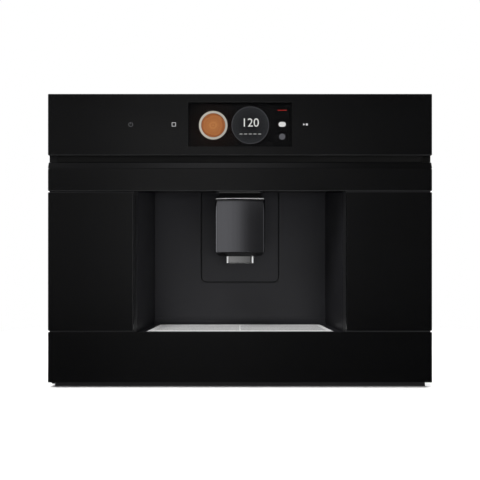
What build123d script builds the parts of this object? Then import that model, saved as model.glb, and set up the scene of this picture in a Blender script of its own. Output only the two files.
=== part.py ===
from build123d import *
import os

# A built-in coffee machine for a kitchen cabinet: a sheet-metal body, a fixed glass control panel with a
# display, and a glass-fronted door hinged on the left, with an opening for the cup niche behind it.
# In the niche a height-adjustable outlet slides on two rods behind the rear wall. Bean container, grinder
# and brew unit stand left of the niche, the water tank right of it, and a drip tray runs below.
#
# Millimetres. X is to the right, Z is up and Y points to the back. The origin is at the bottom centre of
# the whole machine. Depths, named D_..., are measured backwards from the front of the glass.

# ---------------------------------------------------------------- overall
FRONT_WIDTH = 594.0
OVERALL_HEIGHT = 455.0
OVERALL_DEPTH = 375.0
SIDE_COVER = 18.0  # the glass front stands past the body by this on either side
FRONT_RISE = 6.0  # and above it by this
SHEET = 1.2  # steel sheet of the body
PAN_FLANGE = 14.0
REAR_FLANGE = 22.0
REAR_STRIP = 2.0
PAN_SLOTS = 6
PAN_SLOT_PITCH = 60.0
PAN_SLOT_INSET = 63.2
PAN_SLOT = (36.0, 5.0)
RUNNER_INSET = 6.0
RUNNER_WIDTH = 12.0
SIDE_SLOTS = 8
SIDE_SLOT_DROP = 149.0
SIDE_SLOT_PITCH = 12.0
SIDE_SLOT_HEIGHT = 4.0
SIDE_SLOT_LENGTH = 80.0
SIDE_SLOT_INSET = 43.2
TOP_SLOTS = 12
TOP_SLOT = (5.0, 50.0)
TOP_SLOT_PITCH = 30.0
TOP_SLOT_INSET = 28.2
TOP_ROW_PITCH = 65.0
LOUVRES = 14
LOUVRE_DROP = 199.0
LOUVRE_PITCH = 9.0
LOUVRE_HEIGHT = 4.0
LOUVRE_INNER = 40.0
LOUVRE_OUTER = 180.0
FIT = 0.3  # gap round a piece that is set into another
RUN = 0.05  # radial clearance of a shaft that turns or slides in its bore
BREAK = 0.1  # what a round end is short of a full half circle

# ---------------------------------------------------------------- glass front
GLASS = 4.0
GLASS_BEVEL = 0.5
GLASS_CORNER = 1.5
CONTROL_HEIGHT = 95.0
GRIP_GAP = 10.0
GRIP_BAR_HEIGHT = 10.5
GRIP_BAR_SLOPE = 2.2
GRIP_BAR_EDGE = 0.8
GRIP_BAR_GAP = 0.4
BAND_HEIGHT = 34.5
SIDE_PANE_WIDTH = 132.0
BOTTOM_PANE_HEIGHT = 78.0
PANE_GAP = 2.0
FOOT_GAP = 8.7
DISPLAY_WIDTH = 160.0
DISPLAY_HEIGHT = 68.5
DISPLAY_DEPTH = 9.0
DISPLAY_TRAY = 3.0  # the display's metal tray stands past its picture by this
LENS = 3.0
LENS_GAP = 0.1

# ---------------------------------------------------------------- door and front frame
EDGE_INSET = 0.5  # frames stand back from the edge of the glass by this
DOOR_FRAME_DEPTH = 13.0
DOOR_WALL = 2.5
CARRIER_RIB = 2.0
DOOR_LINER = 2.0
DOOR_LINER_INSET = 7.0
DOOR_LINER_CORNER = 4.0
DOOR_GAP = 1.0
SILL_DROP = 2.0  # the frame's sill lies below the top of the bottom pane by this
POST_RADIUS = 4.5
POST_FLOOR = 2.0
MAGNET = (8.0, 30.0)
MAGNET_LOW = 16.7
MAGNET_HIGH = 20.0
MAGNET_SUNK = 1.0
MAGNET_PROUD = 0.7
LINER_HEAD = 0.7
LINER_SCREW_SIDE = 10.0
LINER_SCREW_LOW = 14.0
LINER_SCREW_HIGH = 18.0
NICHE_TOP_RISE = 6.0  # the door frame clears the view into the niche by this above the glass
FLANGE = 2.0
FLANGE_INSET = 5.0
FLANGE_TOP_INSET = 2.0
FRAME_BAR = 2.0
FRAME_TOP_BAR = 10.0
FRAME_MID_BAR = 6.0
FRAME_CORNER = 3.0
LEDGE_FRONT = 11.0
LEDGE_HEIGHT = 5.5
FASCIA = 2.5
FASCIA_RISE = 8.0
FASCIA_CORNER = 4.0

# ---------------------------------------------------------------- niche
NICHE_DEPTH = 123.0
CEILING_RISE = 2.0
NICHE_WALL = 2.0
FLOOR_DROP = 2.7
FLOOR_THICKNESS = 2.0
CORNER_GROOVE = 1.4
COVE = 12.0
COVE_LIP = 1.0
OUTLET_PANEL_WIDTH = 149.0
OUTLET_PANEL_DROP = 47.5
OUTLET_PANEL_CORNER = 10.0
PANEL_GROOVE = 0.9
GRILLE_SIDE = 14.5
GRILLE_FRONT = 22.0
GRILLE_SHEET = 0.8
GRILLE_SLOTS = 7
GRILLE_ROWS = 9
GRILLE_SLOT_WIDTH = 2.6
GRILLE_SLOT_LENGTH = 34.0
GRILLE_MARGIN = 9.0
GRILLE_LAP = 2.5
GRILLE_RIM = 4.0
GRILLE_RIM_WALL = 1.0

# ---------------------------------------------------------------- outlet
HEAD_FRONT = 30.0
HEAD_WIDTH = 82.0
HEAD_HEIGHT = 90.5
HEAD_DEPTH = 58.0
HEAD_DROP = 2.5  # its top lies below the band pane by this
HEAD_CROWN = 1.6
HEAD_CORNER = 4.0
HEAD_STEP = 0.5
COVER_WALL = 2.0
COVER_SHORT = 4.0
OUTLET_BODY_WALL = 3.0
COVER_TOP_BEVEL = 1.3
ROOF_HEIGHT = 12.0
ROOF_SIDE = 6.0
ROOF_FRONT = 13.0
SPOUT_WIDTH = 46.0
SPOUT_DEPTH = 22.0
SPOUT_HEIGHT = 12.0
SPOUT_CORNER = 6.0
SPOUT_SETBACK = 12.0
SPOUT_BEVEL = 0.8
COLLAR_HEIGHT = 4.0
COLLAR_REACH = 3.0
COFFEE_BORE = 3.0
COFFEE_BORE_PITCH = 24.0
COFFEE_BORE_DEPTH = 40.0
NECK_WIDTH = 40.0
NECK_HEIGHT = 30.0
NECK_DROP = 2.5
OUTLET_UP = 45.0
OUTLET_DOWN = 35.0
ROD_RADIUS = 4.0
ROD_PITCH = 76.0
ROD_HOLDER = 12.0
CARRIAGE_DEPTH = 20.0
CARRIAGE_OVERHANG = 10.0
CARRIAGE_LAP = 2.0
BLIND = 1.2
BLIND_LAP = 4.0

# ---------------------------------------------------------------- side bays
BAY_WALL_GAP = 5.0
SHELF_RISE = 1.3
SHELF = 2.0
SHELF_PAST = 10.0
TANK_GAP = 3.0
TANK_DEPTH = 130.0
TANK_STUB = 7.0
TANK_STUB_WALL = 3.0
TANK_STUB_INSET = 25.0
TANK_DROP = 28.0
TANK_WALL = 2.0
TANK_CORNER = 10.0
TANK_LID = 8.0
DOCK_HEIGHT = 8.0
DOCK_SIDE = 2.0
LID_GRIP = (60.0, 20.0)
LID_GRIP_CORNER = 5.0
LID_GRIP_FLOOR = 3.0
BEAN_SHELF_Z = 260.0
BEAN_GAP = 2.0
BEAN_DEPTH = 256.0
BEAN_WALL = 2.0
BEAN_LID = 6.0
BEAN_DROP = 8.0
TRAY_DROP = 4.5
TRAY_SHORT = 2.0
TRAY_WALL = 2.5
GROUNDS_WALL = 2.0
GROUNDS_DROP = 6.0
GROUNDS_PLAY = 1.0
GROUNDS_HOLE = 50.0
GROUNDS_HOLE_SETBACK = 40.0

# ---------------------------------------------------------------- brew unit
BREW_GAP = 3.4
BREW_DEPTH = 128.0
BREW_HEIGHT = 104.0
BREW_WALL = 3.0
BREW_SHELF_PAST = 60.0
CHAMBER_RADIUS = 25.0
CHAMBER_WALL = 4.0
CHAMBER_COLLAR = 2.5
CHAMBER_COLLAR_HEIGHT = 3.9
CHAMBER_HEIGHT = 38.0
CHAMBER_DROP = 8.0
CHAMBER_SETBACK = 84.0  # chamber axis behind the brew unit's front
SEAT = 4.0
SEAT_MARGIN = 6.0
PISTON_HEIGHT = 10.0
PISTON_SUNK = 4.0
PISTON_ROD = 7.0
SPINDLE_RADIUS = 5.0
SPINDLE_COLLAR = 2.5
SPINDLE_COLLAR_HEIGHT = 3.0
SPINDLE_END = 4.0
SPINDLE_OFFSET = 46.0  # from the chamber's axis forwards
ARM_WIDTH = 16.0
ARM_HEIGHT = 8.0
ARM_NUT = 4.0
GEARMOTOR_RADIUS = 19.0
GEARMOTOR_HEIGHT = 30.0
GEARMOTOR_EAR = (16.0, 5.0)
LATCH_HEIGHT = 16.0
LATCH_WIDTH = 34.0
LATCH_SHEET = 2.3
LATCH_RISE = 12.0
LATCH_OFFSET = 30.0
LATCH_GRIP = 6.0
LATCH_GRIP_HEIGHT = 1.8
LATCH_GUIDE = 2.0
LATCH_GUIDE_LENGTH = 52.0
BREW_GRIP = (40.0, 8.0)
BREW_GRIP_DROP = 24.0

# ---------------------------------------------------------------- grinder
GRINDER_D = 250.0
GRINDER_RADIUS = 38.0
GRINDER_WALL = 5.0
GRINDER_HEIGHT = 52.0
BURR_RADIUS = 22.0
BURR_TOP_RADIUS = 15.0
BURR_HEIGHT = 20.0
BURR_RISE = 12.0
BURR_GAP = 0.6
BURR_FLUTES = 12
FLUTE = (5.0, 2.4)
BEAN_HOLE = 19.0
MOTOR_RADIUS = 28.0
MOTOR_HEIGHT = 84.0
MOTOR_SHAFT = 5.0
MOTOR_SHAFT_DEPTH = 12.0
MOTOR_TERMINAL = (20.0, 10.0, 12.0)
STAND_MARGIN = 6.0
CHUTE_WIDTH = 22.0
CHUTE_HEIGHT = 11.0
CHUTE_WALL = 3.0
CHUTE_OUTLET = 14.0
CHUTE_SETBACK = 18.0
GUIDE_DEPTH = 196.0
GUIDE_LENGTH = 10.0
GUIDE_WIDTH = 14.0
KNOB_RADIUS = 10.0
KNOB_LENGTH = 10.0
KNOB_PROUD = 1.2
KNOB_SHAFT = 3.0
KNOB_MARK = 2.0
KNOB_COLLAR = 3.0
KNOB_COLLAR_LENGTH = 8.0
KNOB_OFFSET = 28.6  # its shaft from the bay's centre outwards
KNOB_DROP = 14.0  # and from the bean shelf downwards

# ---------------------------------------------------------------- water and power parts
PUMP_X = 90.0
PUMP_D = 190.0
PUMP_Z = 40.0
PUMP_RADIUS = 14.0
PUMP_LENGTH = 80.0
PUMP_COIL = (52.0, 36.0, 46.0)
SADDLE = (8.0, 40.0)
SADDLE_INSET = 5.0
SADDLE_RISE = 4.0
HOSE_RADIUS = 3.5
HOSE_BORE = 2.0
HOSE_LEAD = 18.0
HOSE_RISE = 30.0
HOSE_SWING = 22.0
NIPPLE = 10.0
HEATER_X = -50.0
HEATER_D = 225.0
HEATER_Z = 120.0
HEATER_SIZE = (120.0, 46.0, 70.0)
HEATER_FINS = 6
HEATER_SLOT = 5.0
HEATER_PITCH = 10.0
HEATER_MARGIN = 8.0
HEATER_EDGE = 6.0
NIPPLE_Z = 15.0
BRACKET_SHEET = 2.0
BOARD = 1.6
BOARD_RAISE = 6.0
BOARD_SETBACK = 10.0
BOARD_POST = 3.5
BOARD_POST_INSET = 7.0
MAIN_BOARD = (220.0, 82.0)
RELAY = (14.0, 18.0, 15.0)
RELAYS = 5
RELAY_PITCH = 20.0
RELAY_SIDE = 90.0
TRANSFORMER = (34.0, 30.0, 26.0)
TRANSFORMER_X = 60.0
CAPACITOR = (6.0, 18.0)
CAPACITORS = 4
CAPACITOR_PITCH = 22.0
CAPACITOR_SIDE = 80.0
CAPACITOR_SETBACK = 54.0
CONNECTOR = (40.0, 8.0, 10.0)
CONNECTOR_SETBACK = 60.0
PART_MARGIN = 8.0
INLET_SIDE = 64.0
INLET_Z = 60.0
INLET_SIZE = (50.0, 30.0)
INLET_FLANGE = 4.0
INLET_FLANGE_SHEET = 1.5
INLET_DEPTH = 26.0
INLET_CAVITY = (25.0, 17.0, 18.0)
INLET_CAVITY_CORNER = 3.0
INLET_PIN = (2.0, 4.0, 16.0)
INLET_PINS = ((-7.0, -2.0), (0.0, 3.0), (7.0, -2.0))
SWITCH_OFFSET = 2.6
SWITCH_Z = 48.0
SWITCH_SIZE = (30.0, 22.0)
SWITCH_DEPTH = 24.0
SWITCH_WALL = 1.5
SWITCH_RIM = 0.8
SWITCH_RIM_WIDTH = 2.0
SWITCH_CAVITY = 14.0
ROCKER_PIVOT = 6.0
ROCKER_PIN = 1.5
ROCKER_GAP = 0.8
ROCKER_SIDE_GAP = 0.5
ROCKER_FRONT = 1.6
ROCKER_DISH = 1.6
ROCKER_EDGE = 4.0
ROCKER_BACK = 8.0
ROCKER_BACK_HALF = 3.0
SWITCH_TILT = 8.0

# ---------------------------------------------------------------- hinge and fastenings
PIVOT_INSET = 6.0  # hinge axis from the left edge of the glass
PIVOT_DEPTH = 10.0
PIN_RADIUS = 3.0
BUSH_RADIUS = 5.0
BUSH_LENGTH = 14.0
BUSH_WALL = 1.5
BUSH_END = 2.0
HINGE_BLOCK = 12.5
HINGE_PLATE = 24.0
HINGE_CLEARANCE = 0.6
PIN_REACH = 11.0
REAR_SCREW_INSET = 12.0
MOUNT_HOLE = 2.25
MOUNT_LOW = 33.3
MOUNT_HIGH = 27.0
SCREW_HEAD = 3.6
SCREW_HEAD_HEIGHT = 1.8
SCREW_SHANK = 1.9
SCREW_LENGTH = 8.0
SCREW_PLAY = 0.1
SCREW_CROSS = (4.4, 1.0, 0.9)

# ---------------------------------------------------------------- stations worked out from the sizes
HALF = FRONT_WIDTH / 2
BODY_HALF = HALF - SIDE_COVER
BODY_HEIGHT = OVERALL_HEIGHT - FRONT_RISE
NICHE_HALF = HALF - SIDE_PANE_WIDTH
FLANGE_HALF = HALF - FLANGE_INSET
FRONT_Y = -OVERALL_DEPTH / 2

D_LINER = GLASS + DOOR_FRAME_DEPTH
D_DOOR_BACK = D_LINER + DOOR_LINER
D_FLANGE = D_DOOR_BACK + DOOR_GAP
D_BODY = D_FLANGE + FLANGE
D_FASCIA_BACK = D_BODY + FASCIA
D_TRAY = D_BODY + 1
D_BREW = D_FASCIA_BACK + 0.5
D_TANK = D_FASCIA_BACK + 2
D_TANK_STUB = D_TANK + TANK_DEPTH - TANK_STUB_INSET
D_PANEL_BACK = NICHE_DEPTH + NICHE_WALL
D_LINER_BACK = D_PANEL_BACK + NICHE_WALL
D_BLIND = D_LINER_BACK + 0.4
D_CARRIAGE = D_BLIND + BLIND
D_RODS = D_CARRIAGE + CARRIAGE_DEPTH / 2
D_BOARD = D_FASCIA_BACK + BOARD_SETBACK
D_REAR = OVERALL_DEPTH - SCREW_HEAD_HEIGHT

Z_CONTROL = OVERALL_HEIGHT - CONTROL_HEIGHT
Z_DOOR_TOP = Z_CONTROL - GRIP_GAP
Z_BAND_TOP = Z_DOOR_TOP - GRIP_BAR_HEIGHT
Z_BAND_BOTTOM = Z_BAND_TOP - BAND_HEIGHT
Z_SIDE_TOP = Z_BAND_BOTTOM - PANE_GAP
Z_DOOR_BOTTOM = FOOT_GAP
Z_SILL = Z_DOOR_BOTTOM + BOTTOM_PANE_HEIGHT
Z_SIDE_BOTTOM = Z_SILL + PANE_GAP
Z_DISPLAY = Z_CONTROL + CONTROL_HEIGHT / 2
Z_CEILING = Z_CONTROL + CEILING_RISE
Z_FLOOR = Z_SILL - FLOOR_DROP
Z_HEAD_TOP = Z_BAND_BOTTOM - HEAD_DROP
Z_HEAD = Z_HEAD_TOP - HEAD_HEIGHT
Z_NECK_TOP = Z_HEAD_TOP - NECK_DROP
Z_NECK = Z_NECK_TOP - NECK_HEIGHT
Z_OUTLET_PANEL = Z_HEAD - OUTLET_PANEL_DROP
Z_TRAY = LEDGE_HEIGHT + 2
Z_TRAY_TOP = Z_FLOOR - TRAY_DROP
Z_SHELF = Z_SILL + SHELF_RISE
Z_TANK = Z_SHELF + SHELF + DOCK_HEIGHT
Z_TANK_TOP = Z_DOOR_TOP - TANK_DROP
Z_BREW = Z_SHELF + SHELF
Z_BEANS = BEAN_SHELF_Z + SHELF
Z_BEAN_LID = Z_DOOR_TOP - BEAN_DROP - BEAN_LID
Z_GRINDER_TOP = BEAN_SHELF_Z
Z_GRINDER = Z_GRINDER_TOP - GRINDER_HEIGHT
Z_BURR = Z_GRINDER + GRINDER_WALL + BURR_RISE
Z_KNOB = BEAN_SHELF_Z - KNOB_DROP
Z_LATCH = Z_BREW + LATCH_RISE
Z_BOARD = Z_CEILING + NICHE_WALL + BOARD_RAISE

HINGE_X = -HALF + PIVOT_INSET
BAY_INNER = NICHE_HALF + NICHE_WALL + BAY_WALL_GAP
BAY_OUTER = BODY_HALF - SHEET - BAY_WALL_GAP
BAY_CENTRE = (BAY_INNER + BAY_OUTER) / 2
BAY_WIDTH = BAY_OUTER - BAY_INNER
TANK_WIDTH = BAY_WIDTH - 2 * TANK_GAP
BREW_WIDTH = BAY_WIDTH - 2 * BREW_GAP
KNOB_X = -BAY_CENTRE - KNOB_OFFSET
SWITCH_X = BAY_CENTRE + SWITCH_OFFSET
INLET_X = BODY_HALF - INLET_SIDE
TRAY_DEPTH = NICHE_DEPTH - TRAY_SHORT - D_TRAY
GRILLE_WIDTH = 2 * (NICHE_HALF - GRILLE_SIDE)
GRILLE_DEPTH = NICHE_DEPTH - COVE - GRILLE_FRONT
MOUNT_X = (BODY_HALF + FLANGE_HALF) / 2
MOUNT_Z = (Z_SILL + MOUNT_LOW, Z_SIDE_TOP + MOUNT_HIGH)


# ---------------------------------------------------------------- shape helpers
def block(x, d, z):
    """Box between two x, two depths and two heights."""
    centre = ((x[0] + x[1]) / 2, FRONT_Y + (d[0] + d[1]) / 2, (z[0] + z[1]) / 2)
    return Pos(*centre) * Box(x[1] - x[0], d[1] - d[0], z[1] - z[0])


def slab(width, depth, height, x, d, z):
    """Box of a size, centred in x, from depth d backwards and from z up."""
    return block((x - width / 2, x + width / 2), (d, d + depth), (z, z + height))


def front_plate(x, z, d, corner=0.0):
    """Plate that faces the front, between two x and two heights, with round corners."""
    width, height = x[1] - x[0], z[1] - z[0]
    outline = RectangleRounded(width, height, corner) if corner else Rectangle(width, height)
    place = Plane(
        origin=((x[0] + x[1]) / 2, FRONT_Y + d[1], (z[0] + z[1]) / 2),
        x_dir=(1, 0, 0),
        z_dir=(0, -1, 0),
    )
    return extrude(place * outline, d[1] - d[0])


def column(x, d, radius, z):
    """Upright cylinder between two heights."""
    return Pos(x, FRONT_Y + d, (z[0] + z[1]) / 2) * Cylinder(radius, z[1] - z[0])


def bar(x, z, radius, d):
    """Cylinder along Y between two depths."""
    return Pos(x, FRONT_Y + (d[0] + d[1]) / 2, z) * Rot(90, 0, 0) * Cylinder(radius, d[1] - d[0])


def cross_bar(d, z, radius, x):
    """Cylinder along X between two x."""
    return Pos((x[0] + x[1]) / 2, FRONT_Y + d, z) * Rot(0, 90, 0) * Cylinder(radius, x[1] - x[0])


def upright_prism(width, depth, corner, x, d, z):
    """Upright prism with a round-cornered section, from depth d backwards, between two heights."""
    place = Pos(x, FRONT_Y + d + depth / 2, z[0])
    return extrude(place * RectangleRounded(width, depth, corner), z[1] - z[0])


def open_box(width, depth, corner, wall, x, d, z):
    """Container that is open at the top."""
    outside = upright_prism(width, depth, corner, x, d, z)
    inner_corner = max(corner - wall, 0.5)
    inside = upright_prism(
        width - 2 * wall, depth - 2 * wall, inner_corner, x, d + wall, (z[0] + wall, z[1])
    )
    return outside - inside


def hose(points):
    """Hose through points given as x, depth and z, with the largest bends that its runs allow."""
    line = [Vector(x, FRONT_Y + d, z) for x, d, z in points]
    radii = []
    for before, corner, after in zip(line, line[1:], line[2:]):
        turn = (corner - before).get_angle(after - corner)
        run = min((corner - before).length, (after - corner).length)
        radii.append(0.45 * run / tan_half(turn))
    path = FilletPolyline(*line, radius=radii)
    section = Plane(origin=path @ 0, z_dir=path % 0) * (Circle(HOSE_RADIUS) - Circle(HOSE_BORE))
    print("hose bend radii", [round(r, 1) for r in radii])
    return sweep(section, path=path)


def tan_half(angle):
    """Tangent of half an angle in degrees."""
    half = Vector(1, 0).rotate(Axis.Z, angle / 2)
    return half.Y / half.X


def together(pieces):
    """Several separate solids of one node."""
    return Compound(children=list(pieces))


# ---------------------------------------------------------------- body of sheet metal
def base_pan():
    """Floor of the body with upturned flanges, vent slots and the two runners of the drip tray."""
    inner = BODY_HALF - SHEET
    pan = block((-inner, inner), (D_BODY, D_REAR), (0, SHEET))
    for side in (-1, 1):
        x = sorted((side * inner, side * (inner - SHEET)))
        pan += block(x, (D_FASCIA_BACK, D_REAR - SHEET), (SHEET, PAN_FLANGE))
    pan += rear_flange((SHEET, REAR_FLANGE))
    for index in range(PAN_SLOTS):
        slot_x = (index - (PAN_SLOTS - 1) / 2) * PAN_SLOT_PITCH
        corner = PAN_SLOT[1] / 2 - BREAK
        pan -= upright_prism(*PAN_SLOT, corner, slot_x, D_REAR - PAN_SLOT_INSET, (-1, SHEET + 1))
    left, right = tray_x()
    for centre in (left + RUNNER_INSET + RUNNER_WIDTH / 2, right - RUNNER_INSET - RUNNER_WIDTH / 2):
        x = half_range(centre, RUNNER_WIDTH)
        pan += block(x, (D_FASCIA_BACK, D_TRAY + TRAY_DEPTH), (SHEET, Z_TRAY))
    return pan


def side_panels():
    """Both outer walls of the body, with vent slots near the back."""
    panels = []
    slot_d = (D_REAR - SIDE_SLOT_INSET - SIDE_SLOT_LENGTH, D_REAR - SIDE_SLOT_INSET)
    for side in (-1, 1):
        x = sorted((side * BODY_HALF, side * (BODY_HALF - SHEET)))
        panel = block(x, (D_BODY, D_REAR), (0, BODY_HEIGHT))
        for index in range(SIDE_SLOTS):
            z = BODY_HEIGHT - SIDE_SLOT_DROP + SIDE_SLOT_PITCH * index
            panel -= block((x[0] - 1, x[1] + 1), slot_d, (z, z + SIDE_SLOT_HEIGHT))
        panels.append(panel)
    return together(panels)


def top_cover():
    """Lid of the body between the side panels, with flanges turned down inside them."""
    inner = BODY_HALF - SHEET
    cover = block((-inner, inner), (D_BODY, D_REAR), (BODY_HEIGHT - SHEET, BODY_HEIGHT))
    for side in (-1, 1):
        x = sorted((side * inner, side * (inner - SHEET)))
        z = (BODY_HEIGHT - PAN_FLANGE, BODY_HEIGHT - SHEET)
        cover += block(x, (D_FASCIA_BACK, D_REAR - SHEET), z)
    cover += rear_flange((BODY_HEIGHT - REAR_FLANGE, BODY_HEIGHT - SHEET))
    for row in range(2):
        for index in range(TOP_SLOTS):
            x = (index - (TOP_SLOTS - 1) / 2) * TOP_SLOT_PITCH
            z = (BODY_HEIGHT - SHEET - 1, BODY_HEIGHT + 1)
            d = D_REAR - TOP_SLOT_INSET - TOP_SLOT[1] - TOP_ROW_PITCH * row
            cover -= upright_prism(*TOP_SLOT, TOP_SLOT[0] / 2 - BREAK, x, d, z)
    return cover


def rear_cover():
    """Back wall with louvre slots and the cut-out of the mains inlet."""
    inner = BODY_HALF - SHEET
    d = (D_REAR - SHEET, D_REAR)
    through = (d[0] - 1, d[1] + 1)
    wall = block((-inner, inner), d, (SHEET, BODY_HEIGHT - SHEET))
    for index in range(LOUVRES):
        z = BODY_HEIGHT - LOUVRE_DROP + LOUVRE_PITCH * index
        for x in ((-LOUVRE_OUTER, -LOUVRE_INNER), (LOUVRE_INNER, LOUVRE_OUTER)):
            wall -= front_plate(x, (z, z + LOUVRE_HEIGHT), through, LOUVRE_HEIGHT / 2 - BREAK)
    inlet_x = half_range(INLET_X, INLET_SIZE[0] + 2 * FIT)
    inlet_z = half_range(INLET_Z, INLET_SIZE[1] + 2 * FIT)
    wall -= block(inlet_x, through, inlet_z)
    for x, z in rear_screw_places():
        wall -= bar(x, z, SCREW_SHANK + SCREW_PLAY, through)
    return wall


def half_range(centre, size):
    """The two ends of a size about its centre."""
    return (centre - size / 2, centre + size / 2)


def rear_screw_places():
    """Centres of the six screws of the rear cover."""
    x_places = (-(BODY_HALF - REAR_SCREW_INSET), 0.0, BODY_HALF - REAR_SCREW_INSET)
    z_places = (REAR_SCREW_INSET, BODY_HEIGHT - REAR_SCREW_INSET)
    return [(x, z) for x in x_places for z in z_places]


def rear_flange(z):
    """Folded strip inside the rear cover that its screws are driven into."""
    inner = BODY_HALF - 2 * SHEET - FIT
    d = (D_REAR - SHEET - REAR_STRIP, D_REAR - SHEET)
    strip = block((-inner, inner), d, z)
    for x, place_z in rear_screw_places():
        strip -= bar(x, place_z, SCREW_SHANK + SCREW_PLAY, (d[0] - 1, d[1] + 1))
    return strip


# ---------------------------------------------------------------- front frame
def front_frame():
    """Steel flange behind the glass front, with the ledge under the door and four mounting holes."""
    d = (D_FLANGE, D_BODY)
    through = (d[0] - 1, d[1] + 1)
    frame = block((-FLANGE_HALF, FLANGE_HALF), d, (0, OVERALL_HEIGHT - FLANGE_TOP_INSET))
    frame += block((-FLANGE_HALF, FLANGE_HALF), (LEDGE_FRONT, D_FLANGE), (0, LEDGE_HEIGHT))
    bays = (LEDGE_HEIGHT + FRAME_BAR, Z_DOOR_TOP - EDGE_INSET)
    frame -= front_plate((-BAY_OUTER, BAY_OUTER), bays, through, FRAME_CORNER)
    above = (Z_CEILING + FRAME_MID_BAR, BODY_HEIGHT - FRAME_TOP_BAR)
    frame -= front_plate((-BAY_OUTER, BAY_OUTER), above, through, FRAME_CORNER)
    for x in (-MOUNT_X, MOUNT_X):
        for z in MOUNT_Z:
            frame -= bar(x, z, MOUNT_HOLE, through)
    return frame


def inner_fascia():
    """Plastic plate behind the frame, with the openings of the bays, seen when the door is open."""
    half = BODY_HALF - SHEET - FIT
    d = (D_BODY, D_FASCIA_BACK)
    through = (d[0] - 1, d[1] + 1)
    plate = block((-half, half), d, (SHEET, Z_DOOR_TOP + FASCIA_RISE))
    niche_outer = NICHE_HALF + NICHE_WALL + FIT
    niche_z = (Z_FLOOR - FLOOR_THICKNESS - FIT, Z_DOOR_TOP + FASCIA_RISE + 1)
    plate -= block((-niche_outer, niche_outer), through, niche_z)
    tank_z = (Z_TANK - DOCK_HEIGHT, Z_TANK_TOP + TANK_LID + 4)
    plate -= front_plate((BAY_INNER, BAY_OUTER), tank_z, through, FASCIA_CORNER)
    brew_z = (Z_BREW, Z_BREW + BREW_HEIGHT + GEARMOTOR_HEIGHT + 4)
    plate -= front_plate((-BAY_OUTER, -BAY_INNER), brew_z, through, FASCIA_CORNER)
    bean_z = (Z_BEANS, Z_BEAN_LID + BEAN_LID + 2)
    plate -= front_plate((-BAY_OUTER, -BAY_INNER), bean_z, through, FASCIA_CORNER)
    tray_z = (Z_TRAY - 0.5, Z_TRAY_TOP + 1)
    plate -= front_plate((-BAY_OUTER, NICHE_HALF), tray_z, through, 1)
    switch = [half_range(SWITCH_X, SWITCH_SIZE[0]), half_range(SWITCH_Z, SWITCH_SIZE[1])]
    plate -= block(switch[0], through, switch[1])
    plate -= bar(KNOB_X, Z_KNOB, KNOB_RADIUS + 1, through)
    return plate


# ---------------------------------------------------------------- control panel
def pane(x, z, corners=GLASS_CORNER):
    """Glass pane with round corners and a small bevel round its front."""
    plate = front_plate(x, z, (0, GLASS), corners)
    front = plate.faces().sort_by(Axis.Y)[0]
    return chamfer(front.edges(), GLASS_BEVEL)


def side_panes():
    """Panes left and right of the niche."""
    z = (Z_SIDE_BOTTOM, Z_SIDE_TOP)
    return together([pane((-HALF, -NICHE_HALF), z), pane((NICHE_HALF, HALF), z)])


def control_glass():
    """Pane of the control panel, with the window that the display sits in."""
    glass = pane((-HALF, HALF), (Z_CONTROL, OVERALL_HEIGHT))
    window = [half_range(0, DISPLAY_WIDTH), half_range(Z_DISPLAY, DISPLAY_HEIGHT)]
    return glass - block(window[0], (-1, GLASS + 1), window[1])


def display_lens():
    """Clear cover of the display, level with the glass around it."""
    x = half_range(0, DISPLAY_WIDTH - 2 * LENS_GAP)
    return block(x, (0, LENS), half_range(Z_DISPLAY, DISPLAY_HEIGHT - 2 * LENS_GAP))


def display_module():
    """Display panel behind the lens, in its metal tray."""
    width, height = DISPLAY_WIDTH - 2 * LENS_GAP, DISPLAY_HEIGHT - 2 * LENS_GAP
    picture = block(half_range(0, width), (LENS, GLASS + 1), half_range(Z_DISPLAY, height))
    back_x = half_range(0, DISPLAY_WIDTH + 2 * DISPLAY_TRAY)
    back_z = half_range(Z_DISPLAY, DISPLAY_HEIGHT + 2 * DISPLAY_TRAY)
    return picture + block(back_x, (GLASS, GLASS + DISPLAY_DEPTH), back_z)


def control_carrier():
    """Plastic tray that holds the control glass, open to the back, with a stop at the grip's right end."""
    x = (-HALF + EDGE_INSET, HALF - EDGE_INSET)
    z = (Z_CONTROL + EDGE_INSET, OVERALL_HEIGHT - EDGE_INSET)
    tray = block(x, (GLASS, D_FLANGE), z)
    inner_x = (x[0] + DOOR_WALL, x[1] - DOOR_WALL)
    inner_z = (z[0] + DOOR_WALL, z[1] - DOOR_WALL)
    tray -= block(inner_x, (GLASS + DOOR_WALL, D_FLANGE + 1), inner_z)
    margin = 2 * (DISPLAY_TRAY + FIT)
    window = [half_range(0, DISPLAY_WIDTH + margin), half_range(Z_DISPLAY, DISPLAY_HEIGHT + margin)]
    tray -= block(window[0], (GLASS - 1, GLASS + DOOR_WALL + 1), window[1])
    rib_x = (DISPLAY_WIDTH / 2 + HALF) / 2
    for centre in (-rib_x, rib_x):
        tray += block(half_range(centre, CARRIER_RIB), (GLASS, D_FLANGE), z)
    stop_z = (Z_DOOR_TOP + HINGE_CLEARANCE, z[0])
    return tray + block((x[1] - HINGE_BLOCK, x[1]), (GLASS, D_FLANGE), stop_z)


# ---------------------------------------------------------------- door
def grip_bar():
    """Metal bar along the top of the door; its front leans back so that fingers reach over it."""
    z0, z1 = Z_BAND_TOP + GRIP_BAR_GAP, Z_DOOR_TOP
    section = Polyline(
        (FRONT_Y, z0),
        (FRONT_Y + GRIP_BAR_SLOPE, z1 - GRIP_BAR_EDGE),
        (FRONT_Y + GRIP_BAR_SLOPE + GRIP_BAR_EDGE, z1),
        (FRONT_Y + GLASS, z1),
        (FRONT_Y + GLASS, z0),
        close=True,
    )
    place = Plane(origin=(-HALF, 0, 0), x_dir=(0, 1, 0), z_dir=(1, 0, 0))
    return extrude(place * make_face(section), FRONT_WIDTH)


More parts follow.
